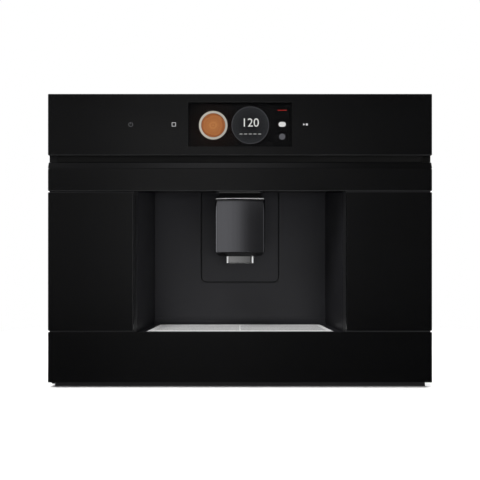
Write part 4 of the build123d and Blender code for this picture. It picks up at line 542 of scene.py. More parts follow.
def end_rule(tree, get, end, geometry):
    """Closes a tree with Realize Instances and Set Material; the tree."""
    real = node(tree, "GeometryNodeRealizeInstances", {0: geometry})
    finish = {"Geometry": real.outputs[0], "Material": get["Finish"]}
    feed(tree, end, {0: node(tree, "GeometryNodeSetMaterial", finish).outputs[0]})
    return tree


def joined(tree, *sources):
    join = tree.nodes.new("GeometryNodeJoinGeometry")
    for source in sources:
        tree.links.new(source, join.inputs[0])
    return join.outputs[0]


def at_points(tree, points, instance):
    return node(tree, "GeometryNodeInstanceOnPoints", {"Points": points, "Instance": instance}).outputs[0]


def grow(tree, values, points=()):
    """The plain mesh that a tree makes with these values, on points if it takes any."""
    mesh = bpy.data.meshes.new("seeds")
    mesh.from_pydata(points, [], [])
    host = hosted("growing", mesh)
    step = host.modifiers.new("Rule", "NODES")
    step.node_group = tree
    for item in tree.interface.items_tree:
        if item.in_out == "INPUT" and item.name in values:
            step[item.identifier] = values[item.name]
    return baked(host)


def repeated(mesh, points, finish):
    """One mesh with a small mesh repeated at points."""
    name = "Pieces at points"
    tree = bpy.data.node_groups.get(name)
    if not tree:
        tree, get, end = rule(name, {"Geometry": GEOMETRY, "Piece": "NodeSocketObject"})
        source = node(tree, "GeometryNodeObjectInfo", {0: get["Piece"]})
        end_rule(tree, get, end, at_points(tree, get["Geometry"], source.outputs["Geometry"]))
    host = bpy.data.objects.new("repeated", mesh)
    made = grow(tree, {"Piece": host, "Finish": finish}, points)
    bpy.data.objects.remove(host)
    return made


def slotted_plate_rule():
    """Plate with rows of slots and a rim folded down below it."""
    tree, get, end = rule("Slotted plate", {
        "Width": 0.3, "Depth": 0.09, "Sheet": 0.0008, "Columns": 2, "Rows": 8, "Slot length": 0.14,
        "Slot width": 0.003, "Margin": 0.014, "Side margin": 0.008,
        "Rim inset": 0.0002, "Rim wall": 0.0008, "Rim height": 0.004})
    def reduced(size, *takes):
        for label, times in takes:
            size = arithmetic(tree, "SUBTRACT", size, arithmetic(tree, "MULTIPLY", get[label], times))
        return size
    def rectangle(width, depth):
        return node(tree, "GeometryNodeCurvePrimitiveQuadrilateral", {"Width": width, "Height": depth}).outputs[0]
    def thick(height, *curves):
        flat = node(tree, "GeometryNodeFillCurve", {0: joined(tree, *curves)}).outputs[0]
        pull = node(tree, "GeometryNodeExtrudeMesh", {"Mesh": flat, "Offset Scale": height, "Individual": False})
        under = node(tree, "GeometryNodeFlipFaces", {0: flat})
        both = joined(tree, pull.outputs[0], under.outputs[0])
        return node(tree, "GeometryNodeMergeByDistance", {"Geometry": both, "Distance": WELD}).outputs[0]
    slot = node(tree, "GeometryNodeFilletCurve", {
        "Curve": rectangle(get["Slot length"], get["Slot width"]), "Count": 5, "Limit Radius": True,
        "Radius": arithmetic(tree, "MULTIPLY", get["Slot width"], 0.499)}, mode="POLY")
    grid = node(tree, "GeometryNodeMeshGrid", {
        "Size X": reduced(get["Width"], ("Side margin", 2), ("Slot length", 1)),
        "Size Y": reduced(get["Depth"], ("Margin", 2), ("Slot width", 1)),
        "Vertices X": get["Columns"], "Vertices Y": get["Rows"]})
    slots = node(tree, "GeometryNodeRealizeInstances", {0: at_points(tree, grid.outputs[0], slot.outputs[0])})
    plate = thick(get["Sheet"], rectangle(get["Width"], get["Depth"]), slots.outputs[0])
    width, depth = (reduced(get[side], ("Rim inset", 2)) for side in ("Width", "Depth"))
    inner = rectangle(reduced(width, ("Rim wall", 2)), reduced(depth, ("Rim wall", 2)))
    rim = thick(get["Rim height"], rectangle(width, depth), inner)
    low = node(tree, "ShaderNodeCombineXYZ", {"Z": arithmetic(tree, "MULTIPLY", get["Rim height"], -1.0)})
    drop = node(tree, "GeometryNodeTransform", {"Geometry": rim, "Translation": low.outputs[0]})
    return end_rule(tree, get, end, joined(tree, plate, drop.outputs[0]))


def ribs_rule():
    """Round ribs along a shaft."""
    tree, get, end = rule("Ribs round a shaft", {"Radius": 0.01, "Count": 28, "Rib radius": 0.0005, "Length": 0.008})
    ring = node(tree, "GeometryNodeMeshCircle", {"Radius": get["Radius"], "Vertices": get["Count"]})
    size = {"Vertices": 8, "Radius": get["Rib radius"], "Depth": get["Length"]}
    rib = node(tree, "GeometryNodeMeshCylinder", size)
    return end_rule(tree, get, end, at_points(tree, ring.outputs[0], rib.outputs[0]))


def thread_rule():
    """Round thread that winds up a rod."""
    tree, get, end = rule("Screw thread", {"Radius": 0.0048, "Turns": 18.0, "Height": 0.09, "Ridge": 0.0007})
    wind = node(tree, "GeometryNodeCurveSpiral", {
        "Resolution": 24, "Rotations": get["Turns"], "Height": get["Height"],
        "Start Radius": get["Radius"], "End Radius": get["Radius"]})
    section = node(tree, "GeometryNodeCurvePrimitiveCircle", {"Resolution": 6, "Radius": get["Ridge"]})
    sweep = {"Curve": wind.outputs[0], "Profile Curve": section.outputs[0], "Fill Caps": True}
    return end_rule(tree, get, end, node(tree, "GeometryNodeCurveToMesh", sweep).outputs[0])


# ---------------------------------------------------------------- operators, one for each piece or group
EYE = Vector((0, GLASS.y - 0.5, 0.1595))
FOCAL_LENGTH = 24.276
LENS_RISE = 0.09375
LAMPS = (
    ("key", (-0.35, -0.9, 1.42), 0.6, 0.6),
    ("front", (0.2, -0.95, 0.1), 1.0, 0.2),
    ("top", (0.3, 0.2, 1.9), 1.2, 1.2),
    ("back", (0.4, 1.6, 1.6), 1.2, 1.2),
)
LAMP_AIM = Vector((0, 0, 0.22))

# What the front mirrors: levels at degrees or metres, and the bands in degrees where they fade
DIM_ZONE = 0.318
DIM_ACROSS = [
    (-50, 0.36), (-30, 0.45), (-22, 0.66), (-14, 0.95), (-7, 1.0), (0, 0.9), (7, 0.66), (14, 0.5), (20, 0.37),
    (26, 0.24), (30, 0.19), (50, 0.12)]
DIM_UP = [
    (-30, 0.3), (-16, 0.33), (-9.7, 0.41), (-6, 0.55), (-1, 0.71), (4.4, 0.85), (17, 0.98), (23, 1.0), (30, 0.73),
    (50, 0.85)]
DIM_FLOOR = [(0.0, 0.28), (0.05, 0.295), (0.19, 0.33), (0.44, 0.38), (0.97, 0.5), (2.2, 0.62), (4.0, 0.66)]
HEAD_ACROSS = [
    (-30, 1.0), (-14, 1.1), (-6, 1.1), (-3, 0.95), (-1, 0.85), (1, 0.58), (3.4, 0.32), (6.5, 0.2), (13, 0.16),
    (30, 0.15)]
HEAD_SIDES, HEAD_FOOT, HEAD_TOP = (15, 18.5), (-5.5, -3), (14, 17)
WALL_ENDS, RIGHT_DIM, CEILING = (40, 58), (85, 120), (52, 75)
FLOOR_HALF, FLOOR_FADE, FLOOR_BEHIND = 4.0, (0.5, 0.95), 0.9


class COFFEE_OT_stage(bpy.types.Operator):
    """Floor, camera, even light and lamps"""

    bl_idname = "coffee.stage"
    bl_label = "Stage"

    def execute(self, context):
        studio = context.scene.coffee_studio
        set_camera(context.scene)
        set_world(context.scene, studio.sky)
        set_lamps(studio)
        set_floor()
        return {"FINISHED"}


def set_camera(scene):
    """Camera level with the niche, half a metre in front of the glass."""
    camera = hosted("camera", bpy.data.cameras.new("camera"))
    camera.location = EYE
    camera.rotation_euler = (math.radians(90), 0, 0)
    camera.data.lens = FOCAL_LENGTH
    camera.data.sensor_width = 36
    camera.data.shift_y = LENS_RISE
    camera.data.clip_start = 0.01
    scene.camera = camera
    scene.view_settings.view_transform = "Standard"


def room_light():
    """What glass and metal mirror: a white room with a dim wall in front of the machine."""
    tree, start, end = group("Room light", "ShaderNodeTree", {"Direction": VECTOR}, {"Level": FLOAT})
    def do(operation, *values):
        return arithmetic(tree, operation, *values)
    def fade(value, band):
        return smooth_step(tree, value, *band)
    x, y, z = node(tree, "ShaderNodeSeparateXYZ", {0: start[0]}).outputs
    across = do("MULTIPLY", do("ARCTAN2", x, do("MULTIPLY", y, -1.0)), DEGREES)
    up = do("MULTIPLY", do("ARCSINE", z), DEGREES)
    wall = do("MULTIPLY", curve_of(tree, across, DIM_ACROSS), curve_of(tree, up, DIM_UP))
    head_sides = do("SUBTRACT", 1.0, fade(do("ABSOLUTE", across), HEAD_SIDES))
    head_top = do("SUBTRACT", 1.0, fade(up, HEAD_TOP))
    head = do("MULTIPLY", head_sides, do("MULTIPLY", fade(up, HEAD_FOOT), head_top))
    wall = do("MULTIPLY", blend(tree, head, wall, curve_of(tree, across, HEAD_ACROSS)), DIM_ZONE)
    left = fade(do("MULTIPLY", across, -1.0), WALL_ENDS)
    right = do("MULTIPLY", fade(across, WALL_ENDS), blend(tree, fade(across, RIGHT_DIM), 0.25, 1.0))
    bright = do("MAXIMUM", do("MAXIMUM", left, right), fade(up, CEILING))
    feed(tree, end, {0: blend(tree, bright, wall, 1.0)})
    return tree


def set_world(scene, sky):
    """White behind the machine, the room in its mirrors and even light on the rest."""
    world = bpy.data.worlds.new("studio")
    world.use_nodes = True
    tree = world.node_tree
    tree.nodes.clear()
    direction = tree.nodes.new("ShaderNodeTexCoord").outputs["Generated"]
    room = node(tree, "ShaderNodeGroup", {0: direction}, node_tree=room_light())
    path = tree.nodes.new("ShaderNodeLightPath").outputs
    seen = arithmetic(tree, "MAXIMUM", path["Is Camera Ray"], path["Is Transmission Ray"])
    level = blend(tree, seen, blend(tree, path["Is Glossy Ray"], sky, room.outputs[0]), 1.0)
    back = node(tree, "ShaderNodeBackground", {"Color": (1, 1, 1, 1), "Strength": level})
    node(tree, "ShaderNodeOutputWorld", {"Surface": back.outputs[0]})
    scene.world = world


def set_lamps(studio):
    """Soft lamps high in front, level with the niche, above and behind, that no mirror shows."""
    for name, place, width, height in LAMPS:
        lamp = hosted(name + " lamp", bpy.data.lights.new(name + " lamp", "AREA"))
        lamp.data.energy = getattr(studio, name + "_power")
        lamp.data.shape = "RECTANGLE"
        lamp.data.size, lamp.data.size_y = width, height
        lamp.location = place
        lamp.rotation_euler = (LAMP_AIM - Vector(place)).to_track_quat("-Z", "Y").to_euler()
        lamp.visible_glossy = False
        lamp.visible_camera = False


def set_floor():
    """Pale floor that keeps the shadow, and is dim in the mirror of the glass."""
    made, tree, shader, position = blank("pale floor")
    feed(tree, shader, {"Base Color": (1, 1, 1, 1), "Roughness": 1.0, "Specular IOR Level": 0.0})
    def do(operation, *values):
        return arithmetic(tree, operation, *values)
    x, y, _ = node(tree, "ShaderNodeSeparateXYZ", {0: position}).outputs
    away = do("SUBTRACT", GLASS.y, y)
    turn = do("MULTIPLY", do("ARCTAN2", x, do("ADD", away, GLASS.y - EYE.y)), DEGREES)
    dim = do("MULTIPLY", curve_of(tree, turn, DIM_ACROSS), curve_of(tree, away, DIM_FLOOR))
    dim = do("MULTIPLY", dim, DIM_ZONE)
    dim = blend(tree, smooth_step(tree, y, GLASS.y - 0.05, 0.1), dim, FLOOR_BEHIND)
    path = tree.nodes.new("ShaderNodeLightPath").outputs
    glow = node(tree, "ShaderNodeEmission", {"Strength": blend(tree, path["Is Glossy Ray"], 1.0, dim)})
    far = smooth_step(tree, length_of(tree, position), *FLOOR_FADE)
    share = do("MAXIMUM", do("MULTIPLY", far, path["Is Camera Ray"]), path["Is Glossy Ray"])
    mix = node(tree, "ShaderNodeMixShader", {0: share, 1: shader.outputs[0], 2: glow.outputs[0]})
    feed(tree, find(tree, "ShaderNodeOutputMaterial"), {"Surface": mix.outputs[0]})
    shape = bmesh.new()
    bmesh.ops.create_grid(shape, x_segments=2, y_segments=2, size=FLOOR_HALF)
    mesh = from_bmesh(shape)
    paint(mesh, made)
    hosted("floor", mesh)


class COFFEE_OT_glass_front(bpy.types.Operator):
    """Control glass and the panes of the door with polished edges, some lighter as a painted highlight, and what fills
    the gaps behind them, with a dark strip as painted shade over the grip bar
    """

    bl_idname = "coffee.glass_front"
    bl_label = "Glass front"

    def execute(self, context):
        front = context.scene.coffee_front
        glass = polished_glass("black glass", front.glass_colour, front.glass_roughness)
        # Lighter edge colour on the lower and right roundings only: a painted highlight on the rough ground edge.
        rim = polished_glass("ground glass edge", (0.012, 0.012, 0.0125), 0.3)
        for part in ("control_glass", "band_pane", "side_panes", "bottom_pane"):
            body = "housing" if part == "control_glass" else "door"
            made = softened(part, part + "_polished", 0.7 * MM, 2, glass, body)
            second_finish(made, rim, on_highlight_edge)
        add_lip()
        add_gap_shade_strip()
        return {"FINISHED"}


def on_highlight_edge(normal, centre):
    """Whether a face of a pane is on the rounding of its lower edge, high on the front, or of its right edge; these
    faces get a lighter colour as a painted highlight.
    """
    lower = -0.98 < normal.z < -0.2 and centre.z > 280 * MM
    return (lower or 0.2 < normal.x < 0.98) and normal.y < -0.1


def add_lip():
    """Lip under the band, over the opening of the niche, and the plate under it above the outlet."""
    low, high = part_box("band_pane")
    corner = high.y + 0.1 * MM, low.z
    for name, profile, left, right, finish in (
        ("band_lip", [(0, 0.1), (6.9, 0.1), (7.5, 0.7), (7.5, 1.8), (0, 1.8)], -160 * MM, 160 * MM,
         brushed("lip metal", (0.22, 0.22, 0.22), 0.07, depth=0.000001)),
        ("band_lip_plate", [(0, -0.1), (5, -0.5), (6.4, -0.5), (7, 0.1), (0, 0.1)], -33 * MM, 31 * MM,
         brushed("lip plate", (0.042, 0.042, 0.042), 0.45, metallic=0.2)),
    ):
        piece(name, strip_of(corner, profile, left, right), finish, "door")


def add_gap_shade_strip():
    """Near-black strip under the control carrier that closes the gap over the grip bar: painted shade, a dark sheet
    put where the gap is only in shadow.
    """
    # Near-black strip that paints the shade of the gap over the grip bar.
    rubber = moulded("gap seal rubber", (0.004, 0.004, 0.004), 0.8, gloss=0.1)
    corner, half = (GLASS.y + 4.6 * MM, GLASS.z + 0.6 * MM), 283.6 * MM
    profile = [(0, 0), (0, -9.2), (0.3, -9.6), (0.6, -9.6), (0.9, -9.2), (0.9, 0)]
    piece("gap_seal", strip_of(corner, profile, -half, half, 40), rubber, "housing")


class COFFEE_OT_grip_bar(bpy.types.Operator):
    """Grip bar of brushed dark anodised metal"""

    bl_idname = "coffee.grip_bar"
    bl_label = "Grip bar"

    def execute(self, context):
        metal = brushed("anodised bar", context.scene.coffee_front.bar_colour, 0.17)
        softened("grip_bar", "grip_bar_brushed", 0.8 * MM, 3, metal, "door")
        return {"FINISHED"}


class COFFEE_OT_display(bpy.types.Operator):
    """Clear cover of the display and the lit picture bonded behind it"""

    bl_idname = "coffee.display"
    bl_label = "Display"

    def execute(self, context):
        dress(clear("display cover", (1.0, 1.0, 1.0), 0.02, 1.15), "display_lens")
        dress(moulded("display casing", (0.012, 0.012, 0.013), 0.4), "display_module")
        draw_picture(context.scene.coffee_front.display_glow)
        return {"FINISHED"}


def draw_picture(glow):
    """Warm picture with a ringed disc, a level ring, bars and a plain number."""
    width, height = LENS_HIGH.x - LENS_LOW.x, LENS_HIGH.z - LENS_LOW.z
    edge, layer = 1.2 * MM, 0.04 * MM
    y = LENS_HIGH.y - 0.1 * MM
    def at(u, v):
        """Place at these shares of the picture's width and height."""
        return LENS_LOW.x + u * width, LENS_LOW.z + v * height
    left, disc, side = at(0.24, 0.5), at(0.6, 0.5), 0.91
    bars = [flat_shape(pill(*at(0.6 + 0.045 * i, 0.3), 0.03 * width, 0.7 * MM), y - 3 * layer) for i in range(-2, 3)]
    for name, inner, outer, centre, reach, rings, meshes in (
        ("ground", (0.007, 0.003, 0.002), (0.0012, 0.0012, 0.0014), (0.24, 0.4), 0.3 * width, (), [
            bar(LENS_LOW.x + edge, LENS_LOW.z + edge, width - 2 * edge, height - 2 * edge, y)]),
        ("crema", (0.50, 0.21, 0.07), (0.24, 0.07, 0.022), (0.24, 0.5), 0.28 * height, (20.0, (0.38, 0.14, 0.045)), [
            flat_shape(circle(*left, 0.27 * height), y - layer)]),
        ("cream", (0.60, 0.56, 0.47), (0.42, 0.40, 0.36), (0.2, 0.5), 0.4 * height, (), [
            arc_band(*left, 0.3 * height, 0.05 * height, y - layer)]),
        ("disc", (0.006, 0.006, 0.0065), (0.02, 0.021, 0.023), (0.6, 0.5), 0.42 * height, (), [
            flat_shape(circle(*disc, 0.42 * height), y - layer)]),
        ("ring", (0.2, 0.195, 0.19), (0.1, 0.1, 0.11), (0.6, 0.6), 0.3 * height, (), [
            arc_band(*disc, 0.42 * height, 0.5 * MM, y - 2 * layer),
            flat_shape(circle(*at(side, 0.24), 0.07 * height, 32), y - layer)]),
        ("white", (0.75, 0.74, 0.72), (0.6, 0.6, 0.6), (0.5, 0.5), width, (), [
            number("120", 0.27 * height, *at(0.6, 0.55), y - 3 * layer),
            flat_shape(pill(*at(side, 0.52), 0.07 * width, 0.11 * height), y - 2 * layer), *bars]),
        ("red", (0.5, 0.03, 0.02), (0.35, 0.02, 0.02), (0.5, 0.5), width, (), [
            flat_shape(pill(*at(side, 0.84), 0.09 * width, 0.9 * MM), y - 2 * layer)]),
    ):
        x, z = at(*centre)
        finish = lit("picture " + name, inner, outer, (x, y, z), reach, glow, *rings)
        piece("picture_" + name, merged(meshes), finish, "housing")


class COFFEE_OT_touch_symbols(bpy.types.Operator):
    """Lit symbols of the touch fields on the control glass"""

    bl_idname = "coffee.touch_symbols"
    bl_label = "Touch symbols"

    def execute(self, context):
        front = context.scene.coffee_front
        w, line = front.symbol_width, front.symbol_line
        h = w / 2
        y, z = GLASS.y - 0.05 * MM, (LENS_LOW.z + LENS_HIGH.z) / 2
        power, square, start = -168.8 * MM, -102.2 * MM, 100.7 * MM
        white = lit("lit symbol", (0.62, 0.62, 0.63), (0.55, 0.55, 0.56), (0, y, z), 0.3, 1.0)
        faint = lit("faint symbol", (0.11, 0.11, 0.115), (0.1, 0.1, 0.105), (0, y, z), 0.3, 1.0)
        for name, finish, meshes in (
            ("symbol_power", faint, [
                arc_band(power, z, h, line, y, 120, 300), bar(power - line / 2, z, line, 0.6 * w, y)]),
            ("symbol_square", white, [
                bar(square - h, z - h, w, line, y), bar(square - h, z + h - line, w, line, y),
                bar(square - h, z - h, line, w, y), bar(square + h - line, z - h, line, w, y)]),
            ("symbol_start", white, [
                flat_shape([(start - h, z - 0.6 * h), (start, z), (start - h, z + 0.6 * h)], y),
                bar(start + 0.3 * h, z - 0.5 * h, h, h, y)]),
        ):
            piece(name, merged(meshes), finish, "housing")
        return {"FINISHED"}


class COFFEE_OT_niche(bpy.types.Operator):
    """Niche, its back and the outlet's panel in dark moulded plastic"""

    bl_idname = "coffee.niche"
    bl_label = "Niche"

    def execute(self, context):
        colour = context.scene.coffee_niche.wall_colour
        wall = moulded("anthracite plastic", colour, 0.38, 1400.0, 0.000002, 0.05, gloss=0.25)
        dress(wall, "niche_liner", "niche_back", "outlet_panel")
        add_panel_shade_line()
        dress(moulded("fascia plastic", (0.012, 0.012, 0.013), 0.5), "inner_fascia")
        return {"FINISHED"}


def add_panel_shade_line():
    """Thin dark strip in the joint round the outlet's panel, open at the top: painted shade laid flat on the wall,
    standing for the shadow in the joint's groove.
    """
    low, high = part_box("outlet_panel")
    corner, line = 10 * MM, 1.6 * MM
    y, base, upright = low.y - 0.06 * MM, low.z + corner, high.z - low.z - corner
    meshes = [
        bar(low.x, base, line, upright, y), bar(high.x - line, base, line, upright, y),
        bar(low.x + corner, low.z, high.x - low.x - 2 * corner, line, y)]
    for x, start in ((low.x + corner, 180), (high.x - corner, 270)):
        meshes.append(arc_band(x, base, corner - line / 2, line, y, start, 90, 12))
    # Near-black strip laid on the wall: painted shade of the joint round the panel.
    rubber = moulded("seal rubber", (0.003, 0.003, 0.003), 0.8, gloss=0.1)
    piece("outlet_panel_seal", merged(meshes), rubber, "housing")


class COFFEE_OT_drip_grille(bpy.types.Operator):
    """Slotted drip grille of satin steel, its vertical faces darker as painted shade"""

    bl_idname = "coffee.drip_grille"
    bl_label = "Drip grille"

    def execute(self, context):
        sizes = context.scene.coffee_niche
        low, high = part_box("drip_grille")
        steel = brushed("satin steel", (0.93, 0.93, 0.93), 0.55, (20.0, 2500.0, 2500.0), metallic=0.2)
        mesh = grow(slotted_plate_rule(), {
            "Width": high.x - low.x, "Depth": high.y - low.y, "Sheet": sizes.grille_sheet,
            "Columns": sizes.grille_columns, "Rows": sizes.grille_rows,
            "Slot width": sizes.slot_width, "Slot length": sizes.slot_length,
            "Margin": sizes.grille_margin, "Side margin": sizes.grille_side,
            "Rim inset": 0.2 * MM, "Rim wall": 0.8 * MM, "Rim height": high.z - low.z - sizes.grille_sheet,
            "Finish": steel})
        mesh.transform(Matrix.Translation(((low.x + high.x) / 2, (low.y + high.y) / 2, high.z - sizes.grille_sheet)))
        made = piece("drip_grille_slotted", mesh, steel, "grille", "drip_grille")
        # Vertical faces, the slot walls and the rim's front, get a dark copy of the steel: painted shade.
        cut = brushed("cut steel edge", (0.15, 0.15, 0.15), 0.6, metallic=0.25)
        second_finish(made, cut, lambda normal, centre: abs(normal.z) < 0.5)
        return {"FINISHED"}


class COFFEE_OT_outlet(bpy.types.Operator):
    """Coffee outlet: satin cover, dark body and bright spout, with near-white colour on the cover's top bevel and the
    spout's corners as painted highlights
    """

    bl_idname = "coffee.outlet"
    bl_label = "Outlet"

    def execute(self, context):
        sizes = context.scene.coffee_niche
        satin = brushed("satin cover", sizes.cover_colour, sizes.cover_roughness, ALONG_Z)
        # Near-white, hardly metallic bevel: a bare edge, made light as a painted highlight along the cover's top.
        bevel_highlight = brushed("bare bevel", (0.7, 0.7, 0.7), 0.6, metallic=0.1)
        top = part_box("outlet_cover")[1].z
        cover = softened("outlet_cover", "outlet_cover_satin", 0.15 * MM, 2, satin, "outlet")
        trim_cover(cover.data)
        second_finish(cover, bevel_highlight, lambda normal, centre: (
            centre.z > top - 1.7 * MM and 0.3 < normal.z < 0.98 and normal.y < 0.1))
        chrome = brushed("bright spout", (0.62, 0.62, 0.62), 0.08, depth=0.000001)
        # Near-white colour on the spout's corner faces: painted highlights at its ends.
        ground = brushed("ground edge", (0.68, 0.68, 0.68), 0.6, metallic=0.1)
        spout = softened("spout", "spout_bright", 1.5 * MM, 3, chrome, "outlet")
        second_finish(spout, ground, lambda normal, centre: 0.5 < abs(normal.x) < 0.9 and normal.y < -0.05)
        plastic = moulded("outlet plastic", (0.008, 0.008, 0.0085), 0.5, gloss=0.2)
        dress(plastic, "outlet_body", "outlet_carriage", "slot_blind")
        dress(brushed("ground rod", (0.6, 0.6, 0.6), 0.2, ALONG_Z), "guide_rods")
        return {"FINISHED"}


def trim_cover(mesh):
    """Lifts the cover's lower edge and lowers its top, more so under the bevel that runs round it."""
    low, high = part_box("outlet_cover")
    hem, bevel, crest = low.z + 0.5 * MM, high.z - 2 * MM, high.z - 0.4 * MM
    lift, bevel_drop, crest_drop = 1.6 * MM, 0.6 * MM, 0.2 * MM
    for vert in mesh.vertices:
        if vert.co.z < hem:
            vert.co.z += lift
        elif vert.co.z > bevel:
            vert.co.z -= crest_drop if vert.co.z > crest else bevel_drop


class COFFEE_OT_body_sheets(bpy.types.Operator):
    """Zinc-coated body, its louvre hoods, frame, brackets and hinges"""

    bl_idname = "coffee.body_sheets"
    bl_label = "Body sheets"

    def execute(self, context):
        zinc = galvanised("zinc-coated sheet", (0.62, 0.63, 0.64), 0.34)
        dress(zinc, "base_pan", "side_panels", "top_cover", "rear_cover", "brackets")
        dress(moulded("black frame", (0.01, 0.01, 0.0105), 0.5, gloss=0.25), "front_frame")
        dress(moulded("inlet plastic", (0.018, 0.018, 0.019), 0.5), "mains_inlet")
        dress(moulded("black hinge coat", (0.004, 0.004, 0.0042), 0.5, gloss=0.1), "hinge_brackets")
        carrier = moulded("carrier plastic", (0.02, 0.02, 0.0205), 0.5, gloss=0.2)
        # The carrier's front lip gets a near-black colour: painted shade in the gap behind the control glass.
        paint_front_shade(carrier, GLASS.y + 4.5 * MM, (0.002, 0.002, 0.002, 1))
        dress(carrier, "control_carrier")
        add_louvres(context.scene.coffee_body, zinc)
        return {"FINISHED"}


def paint_front_shade(made, y, colour):
    """Near-black colour on what lies in front of a depth, on the rim behind a glass: painted shade, as the carrier's
    front lip sits in the shadow of the gap.
    """
    tree = made.node_tree
    shader, place = find(tree, "ShaderNodeBsdfPrincipled"), find(tree, "ShaderNodeTexCoord")
    depth = node(tree, "ShaderNodeSeparateXYZ", {0: place.outputs["Object"]}).outputs[1]
    behind = smooth_step(tree, depth, y - 0.3 * MM, y + 0.3 * MM)
    plain = shader.inputs["Base Color"].links[0].from_socket
    feed(tree, shader, {"Base Color": mixed(tree, behind, colour, plain)})


def add_louvres(sizes, zinc):
    """A hood over each slot of the rear cover."""
    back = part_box("rear_cover")[1].y
    rows, columns, pitch, first = 14, (-110 * MM, 110 * MM), 9 * MM, 251.2 * MM
    half, taper, sheet = 71 * MM, 2.5 * MM, 0.5 * MM
    h, out = sizes.hood_height, sizes.hood_depth
    turns = [math.radians(15 * i) for i in range(7)]
    outer = [(out * math.sin(a), h / 2 - h * (1 - math.cos(a))) for a in turns]
    inner = [((out - sheet) * math.sin(a), h / 2 - h * (1 - math.cos(a)) - sheet * math.cos(a)) for a in turns]
    hood = bridged([
        [(x, y * reach, z) for y, z in outer + inner[::-1]]
        for x, reach in ((-half, 0.05), (taper - half, 1.0), (half - taper, 1.0), (half, 0.05))])
    points = [(x, back, first + pitch * i) for x in columns for i in range(rows)]
    piece("louvre_hoods", repeated(from_bmesh(hood, 40), points, zinc), zinc, "housing")


class COFFEE_OT_screws(bpy.types.Operator):
    """Cross-recessed screws in the covers, the side panels and the door's liner"""

    bl_idname = "coffee.screws"
    bl_label = "Screws"

    def execute(self, context):
        steel = brushed("zinc-plated screw", (0.5, 0.5, 0.49), 0.3)
        radius = context.scene.coffee_body.head_radius
        for part, body in (("rear_screws", "housing"), ("liner_screws", "door")):
            low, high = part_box(part)
            points = [(x, high.y, z) for x, _, z in island_centres(part)]
            mesh = repeated(screw_head(radius, high.y - low.y), points, steel)
            piece(part + "_recessed", mesh, steel, body, part)
        add_sheet_screws(radius, steel)
        return {"FINISHED"}


def add_sheet_screws(radius, steel):
    """Screws through the side panels and the top cover into the flanges under them."""
    low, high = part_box("side_panels")
    front, rear, inset = low.y + 30 * MM, high.y - 12 * MM, 12 * MM
    sides = [(y, z) for y in (front, (front + rear) / 2, rear) for z in (low.z + inset, high.z - inset)]
    tops = [(x, y, high.z) for x in (low.x + inset, 0, high.x - inset) for y in (front, rear)]
    long, proud, meshes = 8 * MM, 0.1 * MM, []
    for turn, axis, points in (
        (90, "Z", [(low.x, *place) for place in sides]),
        (-90, "Z", [(high.x, *place) for place in sides]),
        (90, "X", tops),
    ):
        head = screw_head(radius, long)
        head.transform(Matrix.Rotation(math.radians(turn), 4, axis) @ Matrix.Translation((0, proud, 0)))
        meshes.append(repeated(head, points, steel))
    piece("sheet_screws", merged(meshes), steel, "housing")


def screw_head(radius, length):
    """Screw that faces the back: rounded head with a cross recess, and its shank."""
    thick, rounding, arm, bar_half, shank = 1.6 * MM, 0.3 * MM, 0.58 * radius, 0.16 * radius, 0.45 * radius
    curve = bpy.data.curves.new("head", "CURVE")
    curve.dimensions = "2D"
    curve.fill_mode = "BOTH"
    curve.extrude = thick / 2 - rounding
    curve.bevel_depth = rounding
    curve.bevel_resolution = 2
    arm_end, cross = [(arm, -bar_half), (arm, bar_half), (bar_half, bar_half)], []
    for _ in range(4):
        cross += arm_end
        arm_end = [(-v, u) for u, v in arm_end]
    for outline in (circle(0, 0, radius - rounding, 24), cross[::-1]):
        line = curve.splines.new("POLY")
        line.points.add(len(outline) - 1)
        for point, (u, v) in zip(line.points, outline):
            point.co = (u, v, 0, 1)
        line.use_cyclic_u = True
    top = baked(hosted("head", curve))
    bpy.data.curves.remove(curve)
    top.transform(Matrix.Translation((0, 0, -thick / 2)))
    shape = bmesh.new()
    shape.from_mesh(top)
    bpy.data.meshes.remove(top)
    floor, point, inset = 0.2 * MM, 0.2 * MM, 0.4 * MM
    for tip, base, depth, middle in (
        (point, radius - inset, floor, -thick - floor / 2),
        (0.6 * shank, shank, length - thick, -(length + thick) / 2),
    ):
        bmesh.ops.create_cone(
            shape, cap_ends=True, segments=16, radius1=tip, radius2=base, depth=depth,
            matrix=Matrix.Translation((0, 0, middle)))
    mesh = from_bmesh(shape, 35)
    mesh.transform(Matrix.Rotation(math.radians(-90), 4, "X"))
    return mesh


class COFFEE_OT_bays(bpy.types.Operator):
    """Water tank, bean container, tray and what holds them in the side bays"""

    bl_idname = "coffee.bays"
    bl_label = "Bays"

    def execute(self, context):
        dress(clear("clear tank", (0.6, 0.65, 0.7), 0.08, 1.5), "water_tank")
        dress(clear("smoked plastic", (0.30, 0.29, 0.28), 0.06, 1.58), "bean_container")
        dress(moulded("lid plastic", (0.022, 0.022, 0.024), 0.36), "tank_lid", "bean_lid")
        dress(moulded("tray plastic", (0.028, 0.028, 0.03), 0.4), "drip_tray", "grounds_container")
        dress(moulded("bay plastic", (0.04, 0.04, 0.043), 0.5), "bay_shelves", "tank_dock")
        dress(moulded("switch plastic", (0.02, 0.02, 0.021), 0.32), "switch_housing")
        dress(moulded("rocker plastic", (0.085, 0.085, 0.087), 0.3), "mains_rocker")
        return {"FINISHED"}


class COFFEE_OT_brew_unit(bpy.types.Operator):
    """Brew unit with the round thread of its spindle"""

    bl_idname = "coffee.brew_unit"
    bl_label = "Brew unit"

    def execute(self, context):
        dress(moulded("brew frame plastic", (0.05, 0.05, 0.053), 0.45), "brew_frame")
        dress(moulded("chamber plastic", (0.32, 0.31, 0.29), 0.4), "brew_chamber", "brew_piston")
        dress(moulded("latch plastic", (0.30, 0.055, 0.02), 0.38), "brew_latch")
        add_spindle(context.scene.coffee_drive, brushed("spindle steel", (0.6, 0.6, 0.6), 0.24, ALONG_Z))
        dress(galvanised("motor steel", (0.5, 0.5, 0.5), 0.35, 140.0), "brew_motor")
        return {"FINISHED"}


